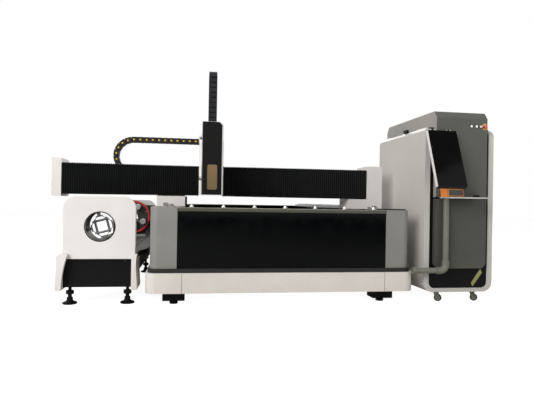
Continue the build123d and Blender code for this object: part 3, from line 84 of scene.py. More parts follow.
# %% Place the camera
camera_place = Vector((-0.813, -6.538, 0.947))
turn_right = math.radians(8.87)
look_up = math.radians(0.17)
roll = math.radians(0.95)
sensor_width = 36
focal_pixels = 500
picture_width = 533
camera_data = bpy.data.cameras.new("camera")
camera_data.lens = sensor_width * focal_pixels / picture_width
camera = add_object("camera", camera_data)
camera.matrix_world = (Matrix.Translation(camera_place) @ Matrix.Rotation(-turn_right, 4, "Z")
                       @ Matrix.Rotation(math.pi / 2 + look_up, 4, "X") @ Matrix.Rotation(roll, 4, "Z"))
bpy.context.scene.camera = camera
print("lens", round(camera_data.lens, 2), "mm")

# %% [markdown]
# ## World, lamps and floor
# One large soft lamp stands up to the left of the camera, as in the photograph, with weaker
# ones to the right, above and behind, and a grey world fills the shadows. Light Path makes
# the background white for the camera, through glass and in reflections only.

# %% Light the studio
bpy.context.scene.view_settings.view_transform = "Standard"
world = bpy.data.worlds.new("studio")
bpy.context.scene.world = world
world.use_nodes = True
world_nodes = world.node_tree.nodes
background = world_nodes["Background"]
background.inputs["Strength"].default_value = 0.45
seen = world_nodes.new("ShaderNodeBackground")
seen.inputs["Color"].default_value = (1, 1, 1, 1)
path = world_nodes.new("ShaderNodeLightPath")
either, any_view = (world_nodes.new("ShaderNodeMath") for _ in range(2))
either.operation = any_view.operation = "MAXIMUM"
mixed = world_nodes.new("ShaderNodeMixShader")
for source, target in (
        (path.outputs["Is Camera Ray"], either.inputs[0]),
        (path.outputs["Is Transmission Ray"], either.inputs[1]),
        (either.outputs[0], any_view.inputs[0]),
        (path.outputs["Is Glossy Ray"], any_view.inputs[1]),
        (any_view.outputs[0], mixed.inputs[0]),
        (background.outputs[0], mixed.inputs[1]),
        (seen.outputs[0], mixed.inputs[2]),
        (mixed.outputs[0], world_nodes["World Output"].inputs[0])):
    world.node_tree.links.new(source, target)

lamps = (("key", (-9.0, -10.5, 6.5), (0, -0.8, 0.7), 7.0, 1560),
         ("fill", (5.5, -6.0, 3.5), (0.6, -0.5, 0.8), 4.0, 110),
         ("top", (0, 0.5, 6.5), (0, 0, 0), 5.0, 260),
         ("back", (5.5, 9.5, 6.0), (0.3, 0.5, 0.7), 5.0, 620))
for name, place, aim, size, power in lamps:
    data = bpy.data.lights.new(name, "AREA")
    data.size = size
    data.energy = power
    lamp = add_object(name, data)
    lamp.location = place
    lamp.rotation_euler = (Vector(aim) - Vector(place)).to_track_quat("-Z", "Y").to_euler()
print(len(lamps), "lamps")

# %% Lay the floor
floor_form = bmesh.new()
bmesh.ops.create_grid(floor_form, x_segments=1, y_segments=1, size=30)
floor = add_object("floor", mesh_from("floor", floor_form))

# %% [markdown]
# ## Shader maths as plain Python
# A finish is a sum of small effects: grain, dust, wear. A small class wraps a socket and
# lets it be added and multiplied like a number; each operator adds one Math node. A second
# class holds one material and adds any other node.

# %% A socket that can be reckoned with
class Value:
    """One output socket of a material; arithmetic on it adds Math nodes."""

    def __init__(self, finish, socket):
        self.finish = finish
        self.socket = socket

    def reckon(self, operation, first, second):
        return self.finish.node("ShaderNodeMath", {"operation": operation}, {0: first, 1: second})

    def __add__(self, other):
        return self.reckon("ADD", self, other)

    def __sub__(self, other):
        return self.reckon("SUBTRACT", self, other)

    def __rsub__(self, other):
        return self.reckon("SUBTRACT", other, self)

    def __mul__(self, other):
        return self.reckon("MULTIPLY", self, other)

    def __gt__(self, other):
        return self.reckon("GREATER_THAN", self, other)

    def __lt__(self, other):
        return self.reckon("LESS_THAN", self, other)

    def limit(self):
        """The value kept between 0 and 1."""
        return self.finish.node("ShaderNodeClamp", {}, {"Value": self})


# %% A material that grows node by node
class Finish:
    """One material with a Principled shader, built node by node."""

    def __init__(self, name, **plain):
        self.material = bpy.data.materials.new(name)
        self.material.use_nodes = True
        self.tree = self.material.node_tree
        self.shader = self.tree.nodes["Principled BSDF"]
        for socket, value in plain.items():
            self.shader.inputs[socket.replace("_", " ")].default_value = value

    def node(self, kind, settings, inputs, output=0):
        """Add a node: settings first, then the values or links of its sockets."""
        made = self.tree.nodes.new(kind)
        for name, value in settings.items():
            setattr(made, name, value)
        for name, value in inputs.items():
            socket = made.inputs[name]
            if isinstance(value, Value):
                self.tree.links.new(value.socket, socket)
            else:
                socket.default_value = value
        return Value(self, made.outputs[output])

    def place(self, axis=None):
        """Object coordinates in metres, or one of their three axes."""
        whole = self.node("ShaderNodeTexCoord", {}, {}, "Object")
        if axis is None:
            return whole
        return self.node("ShaderNodeSeparateXYZ", {}, {0: whole}, axis)

    def noise(self, scale, detail=3.0, stretch=(1, 1, 1), roughness=0.55):
        """Cloudy values around 0.5, stretched along the chosen axes."""
        spot = self.node("ShaderNodeVectorMath", {"operation": "MULTIPLY"}, {0: self.place(), 1: stretch})
        return self.node("ShaderNodeTexNoise", {},
                         {"Vector": spot, "Scale": scale, "Detail": detail, "Roughness": roughness})

    def blend(self, amount, first, second):
        """Mix two colours by a value between 0 and 1."""
        return self.node("ShaderNodeMix", {"data_type": "RGBA"}, {0: amount, 6: first, 7: second}, 2)

    def feed(self, **links):
        """Link values to the shader's own sockets."""
        for name, value in links.items():
            self.tree.links.new(value.socket, self.shader.inputs[name.replace("_", " ")])

    def bump(self, height, distance):
        """Turn a height in 0 to 1 into a tilted normal."""
        self.feed(Normal=self.node("ShaderNodeBump", {},
                                   {"Strength": 1.0, "Distance": distance, "Height": height}, "Normal"))

    def clouds(self, scale):
        """Large soft patches between 0 and 1."""
        return ((self.noise(scale, 4.0) - 0.35) * 3.0).limit()

    def peel(self, distance):
        """The fine dimples of powder coat."""
        self.bump(self.noise(320.0, 1.0), distance)


def srgb(*parts):
    """A colour as a picture shows it, 0 to 255, turned to the linear values of a shader."""
    shares = [part / 255 for part in parts]
    return (*(share / 12.92 if share <= 0.04045 else ((share + 0.055) / 1.055) ** 2.4 for share in shares), 1)


print("maths for finishes is ready")

# %% [markdown]
# ## Painted sheet metal
# Most of the machine is powder-coated steel. It has a fine orange peel that breaks up
# highlights, soft clouds where it was handled and wiped, and dust that lies thicker
# towards the floor. Four noises do this, from a few millimetres to half a metre in size.

# %% A recipe for paint
dust_colour = srgb(150, 146, 138)


def painted(name, colour, roughness=0.42, peel=0.00012, dust=0.35, clouds=0.10, coat=0.0, gloss=0.5):
    """Powder coat with orange peel, soft clouds, and dust near the floor."""
    paint = Finish(name, Coat_Weight=coat, Coat_Roughness=0.12, Specular_IOR_Level=gloss)
    darker = tuple(part * (1 - 1.6 * clouds) for part in colour[:3]) + (1,)
    lighter = tuple(min(1.0, part * (1 + clouds)) for part in colour[:3]) + (1,)
    base = paint.blend(paint.clouds(2.2), darker, lighter)
    low = (1 - paint.place("Z") * 2.2).limit() * dust
    speckle = paint.noise(38.0, 5.0)
    dusty = paint.blend((low * (speckle * 1.4 - 0.25)).limit(), base, dust_colour)
    rough = paint.noise(14.0, 3.0) * 0.16 + (roughness - 0.08)
    paint.feed(Base_Color=dusty, Roughness=(rough + low * 0.25).limit())
    paint.peel(peel)
    return paint.material


grey_paint = painted("grey powder coat", srgb(134, 133, 127), clouds=0.06)
beige_paint = painted("warm beige powder coat", srgb(226, 219, 211), dust=0.12, clouds=0.04)
white_paint = painted("white powder coat", srgb(236, 231, 227), 0.4, dust=0.15, clouds=0.03)
pale_paint = painted("light grey gloss paint", srgb(196, 193, 186), 0.38, peel=0.00005, dust=0.1,
                     clouds=0.02, gloss=0.35)
cabinet_paint = painted("charcoal powder coat", srgb(75, 75, 69), 0.5, clouds=0.05, gloss=0.25)
dark_paint = painted("dark machine paint", srgb(42, 42, 41), 0.5, dust=0.15, gloss=0.3)
black_paint = painted("black enamel", srgb(11, 11, 12), 0.45, dust=0.03, gloss=0.1)
red_paint = painted("red enamel", srgb(196, 40, 34), 0.3, coat=0.3)
front_black = painted("fine black texture paint", srgb(15, 16, 15), 0.5, peel=0.0002, clouds=0.05,
                      gloss=0.12)
yellow_film = painted("olive yellow film", srgb(150, 146, 92), 0.4, dust=0.0, clouds=0.08)
stop_yellow = painted("yellow collar", srgb(228, 176, 32), 0.35, dust=0.0)
print("paints made")

# %% [markdown]
# ## Painted light and shade on one piece
# The left side of the cabinet's hood and the top of the rear chuck's carriage are much
# paler than the rest of them. On the hood the pale side is painted light where it faces the
# lamp; on the carriage the dark lower body is painted shade between the chuck cover and the
# post. A comparison of a coordinate switches between two tones.

# %% A recipe for paint with painted light and shade
def painted_light_split(name, gloss, patches, roughness, peel, axis, test, dark, pale):
    """Powder coat that is pale where the test of a coordinate holds; the two tones are painted light and
    painted shade.
    """
    paint = Finish(name, Specular_IOR_Level=gloss)
    cloudy = paint.clouds(patches)
    paint.feed(Base_Color=paint.blend(test(paint.place(axis)), paint.blend(cloudy, *dark),
                                      paint.blend(cloudy, *pale)),
               Roughness=(paint.noise(14.0, 3.0) * 0.16 + roughness).limit())
    paint.peel(peel)
    return paint.material


pale_top_height = 0.865
# The hood is pale left of this x: painted light on the side that faces the lamp.
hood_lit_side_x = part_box("cabinet_hood")[0][0] + 0.0015
# The carriage is pale above pale_top_height and dark below it; the dark is painted shade between the chuck
# cover and the post.
carriage_paint_shaded_below = painted_light_split(
    "carriage paint, painted shade below", 0.3, 3.0, 0.4, 0.0001, "Z", lambda height: height > pale_top_height,
    (srgb(40, 40, 39), srgb(50, 50, 48)), (srgb(196, 193, 188), srgb(206, 203, 198)))
hood_paint_lit_left = painted_light_split(
    "charcoal hood paint, painted light on the left side", 0.25, 2.2, 0.42, 0.00012, "X", lambda across: across < hood_lit_side_x,
    (srgb(84, 84, 79), srgb(92, 92, 86)), (srgb(150, 148, 141), srgb(160, 157, 150)))
print("two-tone paints made")

# %% [markdown]
# ## Bare, brushed and cast metal
# Rolled and ground steel shows fine lines along the way it was worked: a noise stretched
# eighty times along one axis, which changes colour and roughness together.

# %% A recipe for metal
def brushed(name, colour, roughness, along, depth=0.00006, stain=0.25):
    """Ground metal with fine lines along X, Y or Z and faint stains."""
    metal = Finish(name, Metallic=1.0)
    lines = metal.noise(1.0, 4.0, [2.0 if axis == along else 160.0 for axis in "XYZ"], 0.7)
    stains = metal.noise(7.0, 5.0)
    dull = tuple(part * 0.62 for part in colour[:3]) + (1,)
    tone = metal.blend(((stains - 0.45) * 2.5).limit() * stain, colour, dull)
    metal.feed(Base_Color=metal.blend((lines - 0.3).limit() * 0.5, tone, dull),
               Roughness=((lines - 0.5) * 0.35 + roughness + (stains - 0.5) * 0.2).limit())
    metal.bump(lines, depth)
    return metal.material


# The rail's olive grey steel is darkened as a painted dark reflection.
rail_steel_dark_reflection = brushed("brushed steel rail", srgb(96, 95, 86), 0.34, "X")
steel_along = brushed("ground steel guideway", srgb(150, 150, 149), 0.28, "Y")
zinc = brushed("zinc plated steel", srgb(172, 172, 168), 0.38, "Z", stain=0.5)
bright = brushed("polished steel", srgb(225, 225, 226), 0.10, "Z", depth=0.00001, stain=0.1)
ball_steel = brushed("hardened ball steel", srgb(240, 240, 240), 0.14, "Z", depth=0.00001, stain=0.05)
aluminium = brushed("anodised aluminium", srgb(205, 205, 203), 0.34, "Z", depth=0.00003, stain=0.2)
worn_steel = brushed("worn jaw steel", srgb(112, 112, 114), 0.36, "Y", stain=0.5)
caster_metal = brushed("dull caster steel", srgb(104, 102, 90), 0.5, "Z", stain=0.6)
burnt = brushed("slats with slag", srgb(120, 112, 104), 0.5, "Z", depth=0.0004, stain=0.9)
print("metals made")

# %% [markdown]
# ## Rubber, plastics and the smoked panels
# Soft black parts differ by their gloss: the seal is dull rubber, the bellows a coated
# cloth, the monitor a fine-grained plastic and the bed's front a sheet like a mirror.

# %% Rubber, plastic and smoked sheet
def moulded(name, colour, roughness, grain=240.0, depth=0.00015, gloss=0.35, haze=0.008):
    """Moulded plastic or rubber with a fine grain and a little bloom."""
    body = Finish(name, Specular_IOR_Level=gloss)
    bloom = body.noise(9.0, 4.0)
    paler = tuple(part * 1.25 + haze for part in colour[:3]) + (1,)
    body.feed(Base_Color=body.blend(((bloom - 0.4) * 2.0).limit(), colour, paler),
              Roughness=((bloom - 0.5) * 0.2 + roughness).limit())
    body.bump(body.noise(grain, 2.0), depth)
    return body.material


rubber = moulded("black rubber", srgb(26, 26, 26), 0.72)
tyre_rubber = moulded("caster tyre", srgb(44, 42, 40), 0.62)
bellows_cloth = moulded("coated bellows cloth", srgb(7, 8, 9), 0.5, grain=900.0, gloss=0.14, haze=0.002)
chain_plastic = moulded("cable chain plastic", srgb(17, 18, 22), 0.45, gloss=0.25)
pin_yellow = moulded("yellow pin cap", srgb(232, 186, 36), 0.32)
screen_plastic = moulded("monitor plastic", srgb(8, 8, 9), 0.38, gloss=0.12)
orange_plastic = moulded("orange grip plastic", srgb(226, 132, 40), 0.36)
grey_plastic = moulded("grey corrugated plastic", srgb(110, 110, 99), 0.44)
pad_grey = moulded("pendant pad", srgb(96, 97, 92), 0.5)
key_grey = moulded("pendant keys", srgb(70, 72, 72), 0.5)
socket_black = moulded("black oxide screws", srgb(24, 24, 25), 0.4)
# The seams and vents are dark strips of painted shade where gaps and slots are.
gap_shade_black = moulded("painted shade of gaps and slots", srgb(52, 49, 46), 0.8, gloss=0.1)
smoked = moulded("smoked gloss sheet", srgb(3, 4, 5), 0.08, grain=2.0, depth=0.00003, gloss=0.12, haze=0.0008)
gloss_black = moulded("glossy screen glass", srgb(3, 3, 4), 0.09, grain=2.0, depth=0.00001, gloss=0.04,
                      haze=0.0005)
print("plastics made")

# %% The amber laser window, paler towards its top
window_foot = 1.05
amber = Finish("amber laser window", Roughness=0.12, Specular_IOR_Level=0.2)
tint = amber.noise(6.0, 2.0)
amber.feed(Base_Color=amber.blend(((amber.place("Z") - window_foot) * 3.6 + (tint - 0.5) * 0.4).limit(),
                                  srgb(122, 104, 70), srgb(138, 115, 80)))
print("window made")

# %% A white floor that keeps the machine's shadow
ground = Finish("studio floor", Roughness=0.85, Specular_IOR_Level=0.1)
ground.feed(Base_Color=ground.blend((ground.noise(0.8, 5.0) - 0.3).limit(), srgb(222, 221, 219),
                                    srgb(228, 227, 225)))
glow = ground.node("ShaderNodeEmission", {}, {"Color": (1, 1, 1, 1), "Strength": 1.9})
sight = ground.node("ShaderNodeLightPath", {}, {}, "Is Camera Ray")
whiter = ground.node("ShaderNodeMixShader", {},
                     {0: sight * 0.5, 1: Value(ground, ground.shader.outputs[0]), 2: glow})
ground.tree.links.new(whiter.socket, ground.tree.nodes["Material Output"].inputs[0])
floor.data.materials.append(ground.material)

# %% [markdown]
# ## Which finish goes on which piece
# A CAD piece whose shape is right keeps its mesh and only gets a better material. One
# table names the finish of each; the pieces that it leaves out are replaced further on.

# %% Dress the pieces that keep their shape
finishes = {
    grey_paint: ("corner_posts", "bed_covers", "bed_frame"),
    beige_paint: ("plinth",),
    white_paint: ("end_caps", "carriage_plate", "chuck_cover", "tube_legs", "gantry_feet"),
    pale_paint: ("cabinet_shell", "desk_shelf"),
    cabinet_paint: ("cabinet_body", "lower_panel", "rear_door"),
    hood_paint_lit_left: ("cabinet_hood",),
    carriage_paint_shaded_below: ("rear_carriage",),
    dark_paint: ("gantry_beam", "tube_base", "chuck_cradle", "front_drum", "rear_drum", "rear_ring"),
    black_paint: ("kick_panel", "tube_panel"),
    red_paint: ("emergency_stop",),
    aluminium: ("head_cover",),
    rail_steel_dark_reflection: ("trim_rail",),
    steel_along: ("y_rails",),
    worn_steel: ("front_jaw_1", "front_jaw_2", "front_jaw_3", "front_jaw_4"),
    caster_metal: ("front_fork_left", "front_fork_right", "rear_forks"),
    zinc: ("z_slide", "cutting_head", "monitor_bracket"),
    bright: ("key_switch", "start_button", "stop_button"),
    rubber: ("seal_strip",),
    screen_plastic: ("monitor", "mouse", "signal_lamps"),
    orange_plastic: ("pendant",),
    grey_plastic: ("conduit",),
    smoked: ("front_glass",),
}
for material, names in finishes.items():
    for name in names:
        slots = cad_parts[name].data.materials
        slots.clear()
        slots.append(material)
print(sum(len(names) for names in finishes.values()), "frame pieces dressed")

# %% [markdown]
# ## Bellows over the gantry's guideway
# Two bellows cover the guideway left and right of the carriage. A cross-section is extruded
# along X half a pleat at a time, and every second copy is pulled in at its corners, so the
# pleats meet in mitres.

# %% Helpers for new pieces
def piece_from(name, form, slot, *materials, smooth=35, node=None):
    """Turn a bmesh into a piece; smooth is an angle in degrees, node is what it replaces."""
    mesh = mesh_from(name, form)
    piece = add_object(name, mesh)
    for material in materials:
        mesh.materials.append(material)
    if smooth:
        mesh.shade_smooth()
        mesh.set_sharp_from_angle(angle=math.radians(smooth))
    if node:
        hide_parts(node)
    print(name, len(mesh.polygons), "faces")
    return piece


def add_piece(body, *shape, **more):
    """A new piece that rides on one body."""
    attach(piece_from(*shape, **more), body)


def span(name):
    """Lowest and highest corner of a frame node."""
    low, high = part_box(name)
    return Vector(low), Vector(high)


def middle_of(name):
    """X and Z of the middle of a frame node, and its front."""
    low, high = span(name)
    return (low.x + high.x) / 2, (low.z + high.z) / 2, low.y


print("helpers ready")

# %% Fold the two bellows
pleat_pitch = 0.022
pleat_depth = 0.011
lip = 0.078
front_zone = 0.04
cloth_thickness = 0.0025
fold_round = 0.0012


def folded_bellows(name, node):
    """Pleated cloth in the place of a frame node."""
    low, high = span(node)
    middle = (low + high) / 2
    count = round((high.x - low.x) / pleat_pitch)
    half = (high.x - low.x) / count / 2
    form = bmesh.new()
    section = ((high.y, high.z), (low.y, high.z), (low.y, low.z), (low.y + lip, low.z))
    ring = [form.verts.new((low.x, *point)) for point in section]
    edges = [form.edges.new(pair) for pair in zip(ring, ring[1:])]

    def pull(corners, way):
        """Draw the corners of a cross-section in by a pleat's depth, or out again."""
        for vert in corners:
            vert.co.z += way * pleat_depth * (-1 if vert.co.z > middle.z else 1)
            if vert.co.y < low.y + front_zone:
                vert.co.y += way * pleat_depth

    pull(ring, 1)
    for fold in range(2 * count):
        grown = bmesh.ops.extrude_edge_only(form, edges=edges)["geom"]
        fresh = [part for part in grown if isinstance(part, bmesh.types.BMVert)]
        edges = [part for part in grown if isinstance(part, bmesh.types.BMEdge)]
        bmesh.ops.translate(form, verts=fresh, vec=(half, 0, 0))
        pull(fresh, 1 if fold % 2 else -1)
    bmesh.ops.recalc_face_normals(form, faces=form.faces)
    front = min(form.faces, key=lambda face: face.calc_center_median().y)
    if front.normal.y > 0:
        bmesh.ops.reverse_faces(form, faces=form.faces)
    piece = piece_from(name, form, "black_plastic", bellows_cloth, smooth=0, node=node)
    thick = piece.modifiers.new("cloth thickness", "SOLIDIFY")
    thick.thickness = cloth_thickness
    thick.offset = -1
    soft = piece.modifiers.new("soft folds", "BEVEL")
    soft.width = fold_round
    soft.segments = 1
    soft.limit_method = "ANGLE"
    soft.angle_limit = math.radians(40)
    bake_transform(piece)


folded_bellows("left_bellows", "bellows_left")
folded_bellows("right_bellows", "bellows_right")

# %% [markdown]
# ## Tools for small solid forms
# Three helpers make boxes, turned parts and plates with bmesh operators: a cube that is
# scaled and bevelled, a profile that is spun round an axis, and a face whose corners are
# bevelled before it gets its thickness. Each part is made by itself and then poured into
# its piece, so that a bevel never touches its neighbours.

# %% Boxes, turned parts and plates
front_way = (0, -1, 0)


def pour(form, part, material=0):
    """Add a finished part to the bmesh of its piece, which comes back."""
    for face in part.faces:
        face.material_index = material
    mesh = mesh_from("part", part)
    form.from_mesh(mesh)
    bpy.data.meshes.remove(mesh)
    return form


def soften(part, width, limit=35):
    """Bevel every edge that turns by more than the limit, in degrees."""
    sharp = [edge for edge in part.edges
             if len(edge.link_faces) == 2 and edge.calc_face_angle(0) > math.radians(limit)]
    bmesh.ops.bevel(part, geom=sharp, offset=width, offset_type="OFFSET", segments=1,
                    profile=0.5, affect="EDGES", material=-1)


def add_box(form, low, high, width=0.0, material=0):
    """A box between two corners, with softened edges."""
    size = Vector(high) - Vector(low)
    middle = (Vector(high) + Vector(low)) / 2
    part = bmesh.new()
    bmesh.ops.create_cube(part, size=1, matrix=Matrix.Translation(middle) @ Matrix.Diagonal((*size, 1)))
    if width:
        soften(part, width)
    return pour(form, part, material)


def add_turned(form, profile, place, direction=(0, 0, 1), steps=16, material=0):
    """Spin pairs of radius and height round a line through a place."""
    part = bmesh.new()
    verts = [part.verts.new((radius, 0, height)) for radius, height in profile]
    edges = [part.edges.new(pair) for pair in zip(verts, verts[1:])]
    bmesh.ops.spin(part, geom=verts + edges, cent=(0, 0, 0), axis=(0, 0, 1), angle=2 * math.pi,
                   steps=steps, use_merge=True)
    bmesh.ops.remove_doubles(part, verts=part.verts, dist=0.00005)
    bmesh.ops.recalc_face_normals(part, faces=part.faces)
    turn = Vector(direction).to_track_quat("Z", "Y").to_matrix().to_4x4()
    part.transform(Matrix.Translation(place) @ turn)
    return pour(form, part, material)


def add_ring(form, inner, outer, depth, place, edge=0.0015, steps=64):
    """A flat ring with softened outer edges that faces the operator, from a closed profile."""
    profile = ((inner, 0), (outer, 0), (outer, depth - edge), (outer - edge, depth), (inner + edge, depth),
               (inner, depth - edge), (inner, 0))
    return add_turned(form, profile, place, front_way, steps)


def add_cap_screw(form, place, direction=front_way, steps=10):
    """A button head with a recess sunk in it."""
    add_turned(form, ((0, -0.001), (0.0075, -0.001), (0.0075, 0.0010), (0.0060, 0.0032), (0.0034, 0.0036),
                      (0.0034, 0.0016), (0, 0.0016)), place, direction, steps)


def outline(part, points, rounding, segments):
    """One flat face with rounded corners; returns it with its edges."""
    before = set(part.faces)
    verts = [part.verts.new((*point, 0)) for point in points]
    part.faces.new(verts)
    if rounding:
        bmesh.ops.bevel(part, geom=verts, offset=rounding, offset_type="OFFSET", segments=segments,
                        profile=0.5, affect="VERTICES", material=-1)
    face = next(face for face in part.faces if face not in before)
    return face, list(face.edges)


def add_plate(form, place, points, thickness, rounding=0.0, hole=None, hole_rounding=0.0, width=0.0,
              segments=3, material=0):
    """A plate in the plane of a matrix, from its outline and one hole."""
    part = bmesh.new()
    face, edges = outline(part, points, rounding, segments)
    if hole:
        inner, inner_edges = outline(part, hole, hole_rounding, segments)
        bmesh.ops.delete(part, geom=[face, inner], context="FACES_ONLY")
        bmesh.ops.bridge_loops(part, edges=edges + inner_edges)
    bmesh.ops.recalc_face_normals(part, faces=part.faces)
    bmesh.ops.solidify(part, geom=part.faces, thickness=thickness)
    low = min(vert.co.z for vert in part.verts)
    bmesh.ops.translate(part, verts=part.verts, vec=(0, 0, -low))
    bmesh.ops.recalc_face_normals(part, faces=part.faces)
    if width:
        soften(part, width, limit=60)
    part.transform(place)
    return pour(form, part, material)


def stamp(form, mesh, matrix):
    """Add a copy of a mesh at a place."""
    before = len(form.verts)
    form.from_mesh(mesh)
    form.verts.ensure_lookup_table()
    bmesh.ops.transform(form, matrix=matrix, verts=form.verts[before:])


def axes(origin, across, up):
    """The matrix whose X runs across and whose Y runs up."""
    across, up = Vector(across).normalized(), Vector(up).normalized()
    return Matrix.Translation(origin) @ Matrix((across, up, across.cross(up))).transposed().to_4x4()


def upright(y):
    """The upright plane at this depth, seen from the operator's side."""
    return axes((0, y, 0), (1, 0, 0), (0, 0, 1))


def rectangle(left, bottom, right_end, top):
    """Four corners in order."""
    return ((left, bottom), (right_end, bottom), (right_end, top), (left, top))


def around(centre, radius, count, first):
    """Places on an upright circle; the first angle is in degrees."""
    for number in range(count):
        turn = math.radians(first + 360 / count * number)
        yield Vector((centre[0] + radius * math.cos(turn), centre[1], centre[2] + radius * math.sin(turn)))


print("form helpers ready")

# %% [markdown]
# ## Cable chains
# Each plastic link has two side plates and a lid above and below; neighbours overlap like
# scales and turn on a pin, capped in yellow on the wide chain. One link is stamped along
# the path of the chain: a straight run, a half turn and a run back. The half turn of a real
# chain moves half as far as the carriage, so each chain is two pieces that meet at the tip
# of the turn.

# %% One link and the path that it follows
side_wall = 0.008


def link_mesh(pitch, height, breadth, lid, cap):
    """One chain link that runs along X, with its breadth along Y."""
    form = bmesh.new()
    reach = pitch * 0.62
    points = rectangle(-reach, -height / 2, reach * 0.72, height / 2)
    for side_y in (side_wall - breadth / 2, breadth / 2):
        add_plate(form, upright(side_y), points, side_wall, rounding=height * 0.16, width=0.0012)
    for side_z in (-1, 1):
        middle = side_z * (height / 2 - lid / 2 - 0.0006)
        add_box(form, (-pitch * 0.42, side_wall - breadth / 2, middle - lid / 2),
                (pitch * 0.42, breadth / 2 - side_wall, middle + lid / 2), width=0.0012)
    if cap:
        add_turned(form, ((0, 0), (cap, 0), (cap, 0.0014), (cap * 0.8, 0.0024), (0, 0.0024)),
                   (0, -breadth / 2 + 0.0002, 0), front_way, steps=14, material=1)
    return mesh_from("link", form)


def chain_point(distance, upper, radius):
    """Place along a chain, from the end of its upper run, round the turn's centre."""
    if distance < upper:
        return Vector((upper - distance, radius))
    turn = (distance - upper) / radius
    if turn < math.pi:
        return Vector((-radius * math.sin(turn), radius * math.cos(turn)))
    return Vector((distance - upper - math.pi * radius, -radius))


def add_chain(node, bodies, centre, along, out, radius, runs, count, section, ends, *materials):
    """Links along the path, in two pieces that meet at its tip."""
    upper, lower = runs
    pitch = (upper + math.pi * radius + lower) / count
    link = link_mesh(pitch, *section)
    halves = (bmesh.new(), bmesh.new())
    for number in range(count):
        start = chain_point(number * pitch, upper, radius)
        end = chain_point((number + 1) * pitch, upper, radius)
        middle, heading = (start + end) / 2, (end - start).normalized()
        half = halves[0] if (number + 0.5) * pitch < upper + math.pi * radius / 2 else halves[1]
        stamp(half, link, axes(centre + along * middle.x + out * middle.y,
                               along * heading.x + out * heading.y, out.cross(along)))
    for half, (name, *marks) in zip(halves, ends):
        piece = piece_from(name, half, "black_plastic", *materials, smooth=40, node=node)
        start, end = ([mark if step else rest for step, rest in zip(along, centre)] for mark in marks)
        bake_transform(piece)


print("chain helpers ready")

# %% The wide chain behind the gantry beam
chain_low, chain_high = span("x_chain")
pin_room = 0.002
wide_radius = 0.175
wide_height = 0.058
wide_count = 31
wide_turn = Vector((chain_low.x + wide_radius + wide_height / 2 - 0.0012,
                    (chain_low.y + pin_room + chain_high.y) / 2,
                    chain_high.z - wide_radius - wide_height / 2))
wide_end = span("carriage_plate")[0].x - 0.0003
add_chain("x_chain", ("gantry", "carriage"), wide_turn, Vector((1, 0, 0)), Vector((0, 0, 1)), wide_radius,
          (wide_end - wide_turn.x, chain_high.x - wide_turn.x), wide_count,
          (wide_height, chain_high.y - chain_low.y - pin_room, 0.006, 0.0095),
          (("wide_chain_upper", 2 * chain_low.x - wide_end, wide_end),
           ("wide_chain_lower", chain_high.x, 2 * chain_low.x - chain_high.x)),
          chain_plastic, pin_yellow)

# %% The tall chain above the head
tall_low, tall_high = span("z_chain")
tall_height = 0.022
tall_count = 28
tall_radius = (tall_high.y - tall_low.y - tall_height) / 2
tall_turn = Vector(((tall_low.x + tall_high.x) / 2, (tall_low.y + tall_high.y) / 2,
                    tall_high.z - tall_radius - tall_height / 2 - 0.001))
tall_run = tall_turn.z - tall_low.z
beyond = 2 * tall_high.z - tall_low.z
add_chain("z_chain", ("carriage", "head"), tall_turn, Vector((0, 0, -1)), Vector((0, -1, 0)), tall_radius,
          (tall_run, tall_run), tall_count, (tall_height, tall_high.x - tall_low.x, 0.004, 0),
          (("tall_chain_front", beyond, tall_low.z), ("tall_chain_rear", tall_low.z, beyond)),
          chain_plastic)

# %% [markdown]
# ## The head cover
# The cover is a folded aluminium box with a black front sheet; on the right a strip of the
# bare box stays in view. Two black knobs on its left side lock it. The amber window lies on
# the front sheet in a rubber seal.

# %% Black front sheet
cover_low, cover_high = span("head_cover")
knob_reach = 0.020
sheet_left = cover_low.x + knob_reach + 0.002
sheet_right = cover_high.x - 0.012
sheet_bottom = cover_low.z + 0.002
sheet_top = cover_high.z - 0.002
cut = 0.028
sheet_points = ((sheet_left, sheet_bottom), (sheet_right, sheet_bottom), (sheet_right, sheet_top - cut),
                (sheet_right - cut, sheet_top), (sheet_left, sheet_top))
sheet = add_plate(bmesh.new(), upright(cover_low.y), sheet_points, 0.0025, rounding=0.004, width=0.0008)
add_piece("carriage", "head_front_sheet", sheet, "dark_grey", front_black, smooth=40)

# %% Window with its rubber seal, cap screws and knobs
window_low, window_high = span("cover_window")
seal_lip = 0.005
pane_place = upright(cover_low.y - 0.0026)
pane_points = rectangle(window_low.x, window_low.z, window_high.x, window_high.z)
pane = add_plate(bmesh.new(), pane_place, pane_points, 0.0016, rounding=0.016, width=0.0004, segments=5)
add_piece("carriage", "amber_pane", pane, "amber", amber.material, smooth=40, node="cover_window")
seal_points = rectangle(window_low.x - seal_lip, window_low.z - seal_lip, window_high.x + seal_lip,
                        window_high.z + seal_lip)
seal_form = bmesh.new()
add_plate(seal_form, pane_place, seal_points, 0.003, rounding=0.021, hole=pane_points, hole_rounding=0.016,
          width=0.0008, segments=5)
for screw_x in (sheet_left + 0.012, sheet_right - 0.012):
    for screw_z in (cover_low.z + 0.02, (cover_low.z + cover_high.z) / 2 + 0.1):
        add_turned(seal_form, ((0, 0), (0.0035, 0), (0.0035, 0.0027), (0.0026, 0.0035), (0, 0.0035)),
                   (screw_x, cover_low.y - 0.002, screw_z), front_way, steps=10)
add_piece("carriage", "window_seal", seal_form, "rubber", rubber, smooth=40)
knob_form = bmesh.new()
for share in (0.23, 0.8):
    knob_z = cover_low.z + (cover_high.z - cover_low.z) * share
    add_turned(knob_form, ((0, 0), (0.0215, 0), (0.0215, 0.004), (0.019, 0.006), (0.019, 0.017),
                           (0.0215, 0.019), (0.0215, 0.0205), (0.0195, 0.0215), (0, 0.0215)),
               (cover_low.x + knob_reach, (cover_low.y + cover_high.y) / 2, knob_z), (-1, 0, 0), steps=20)
add_piece("carriage", "cover_knobs", knob_form, "rubber", rubber)

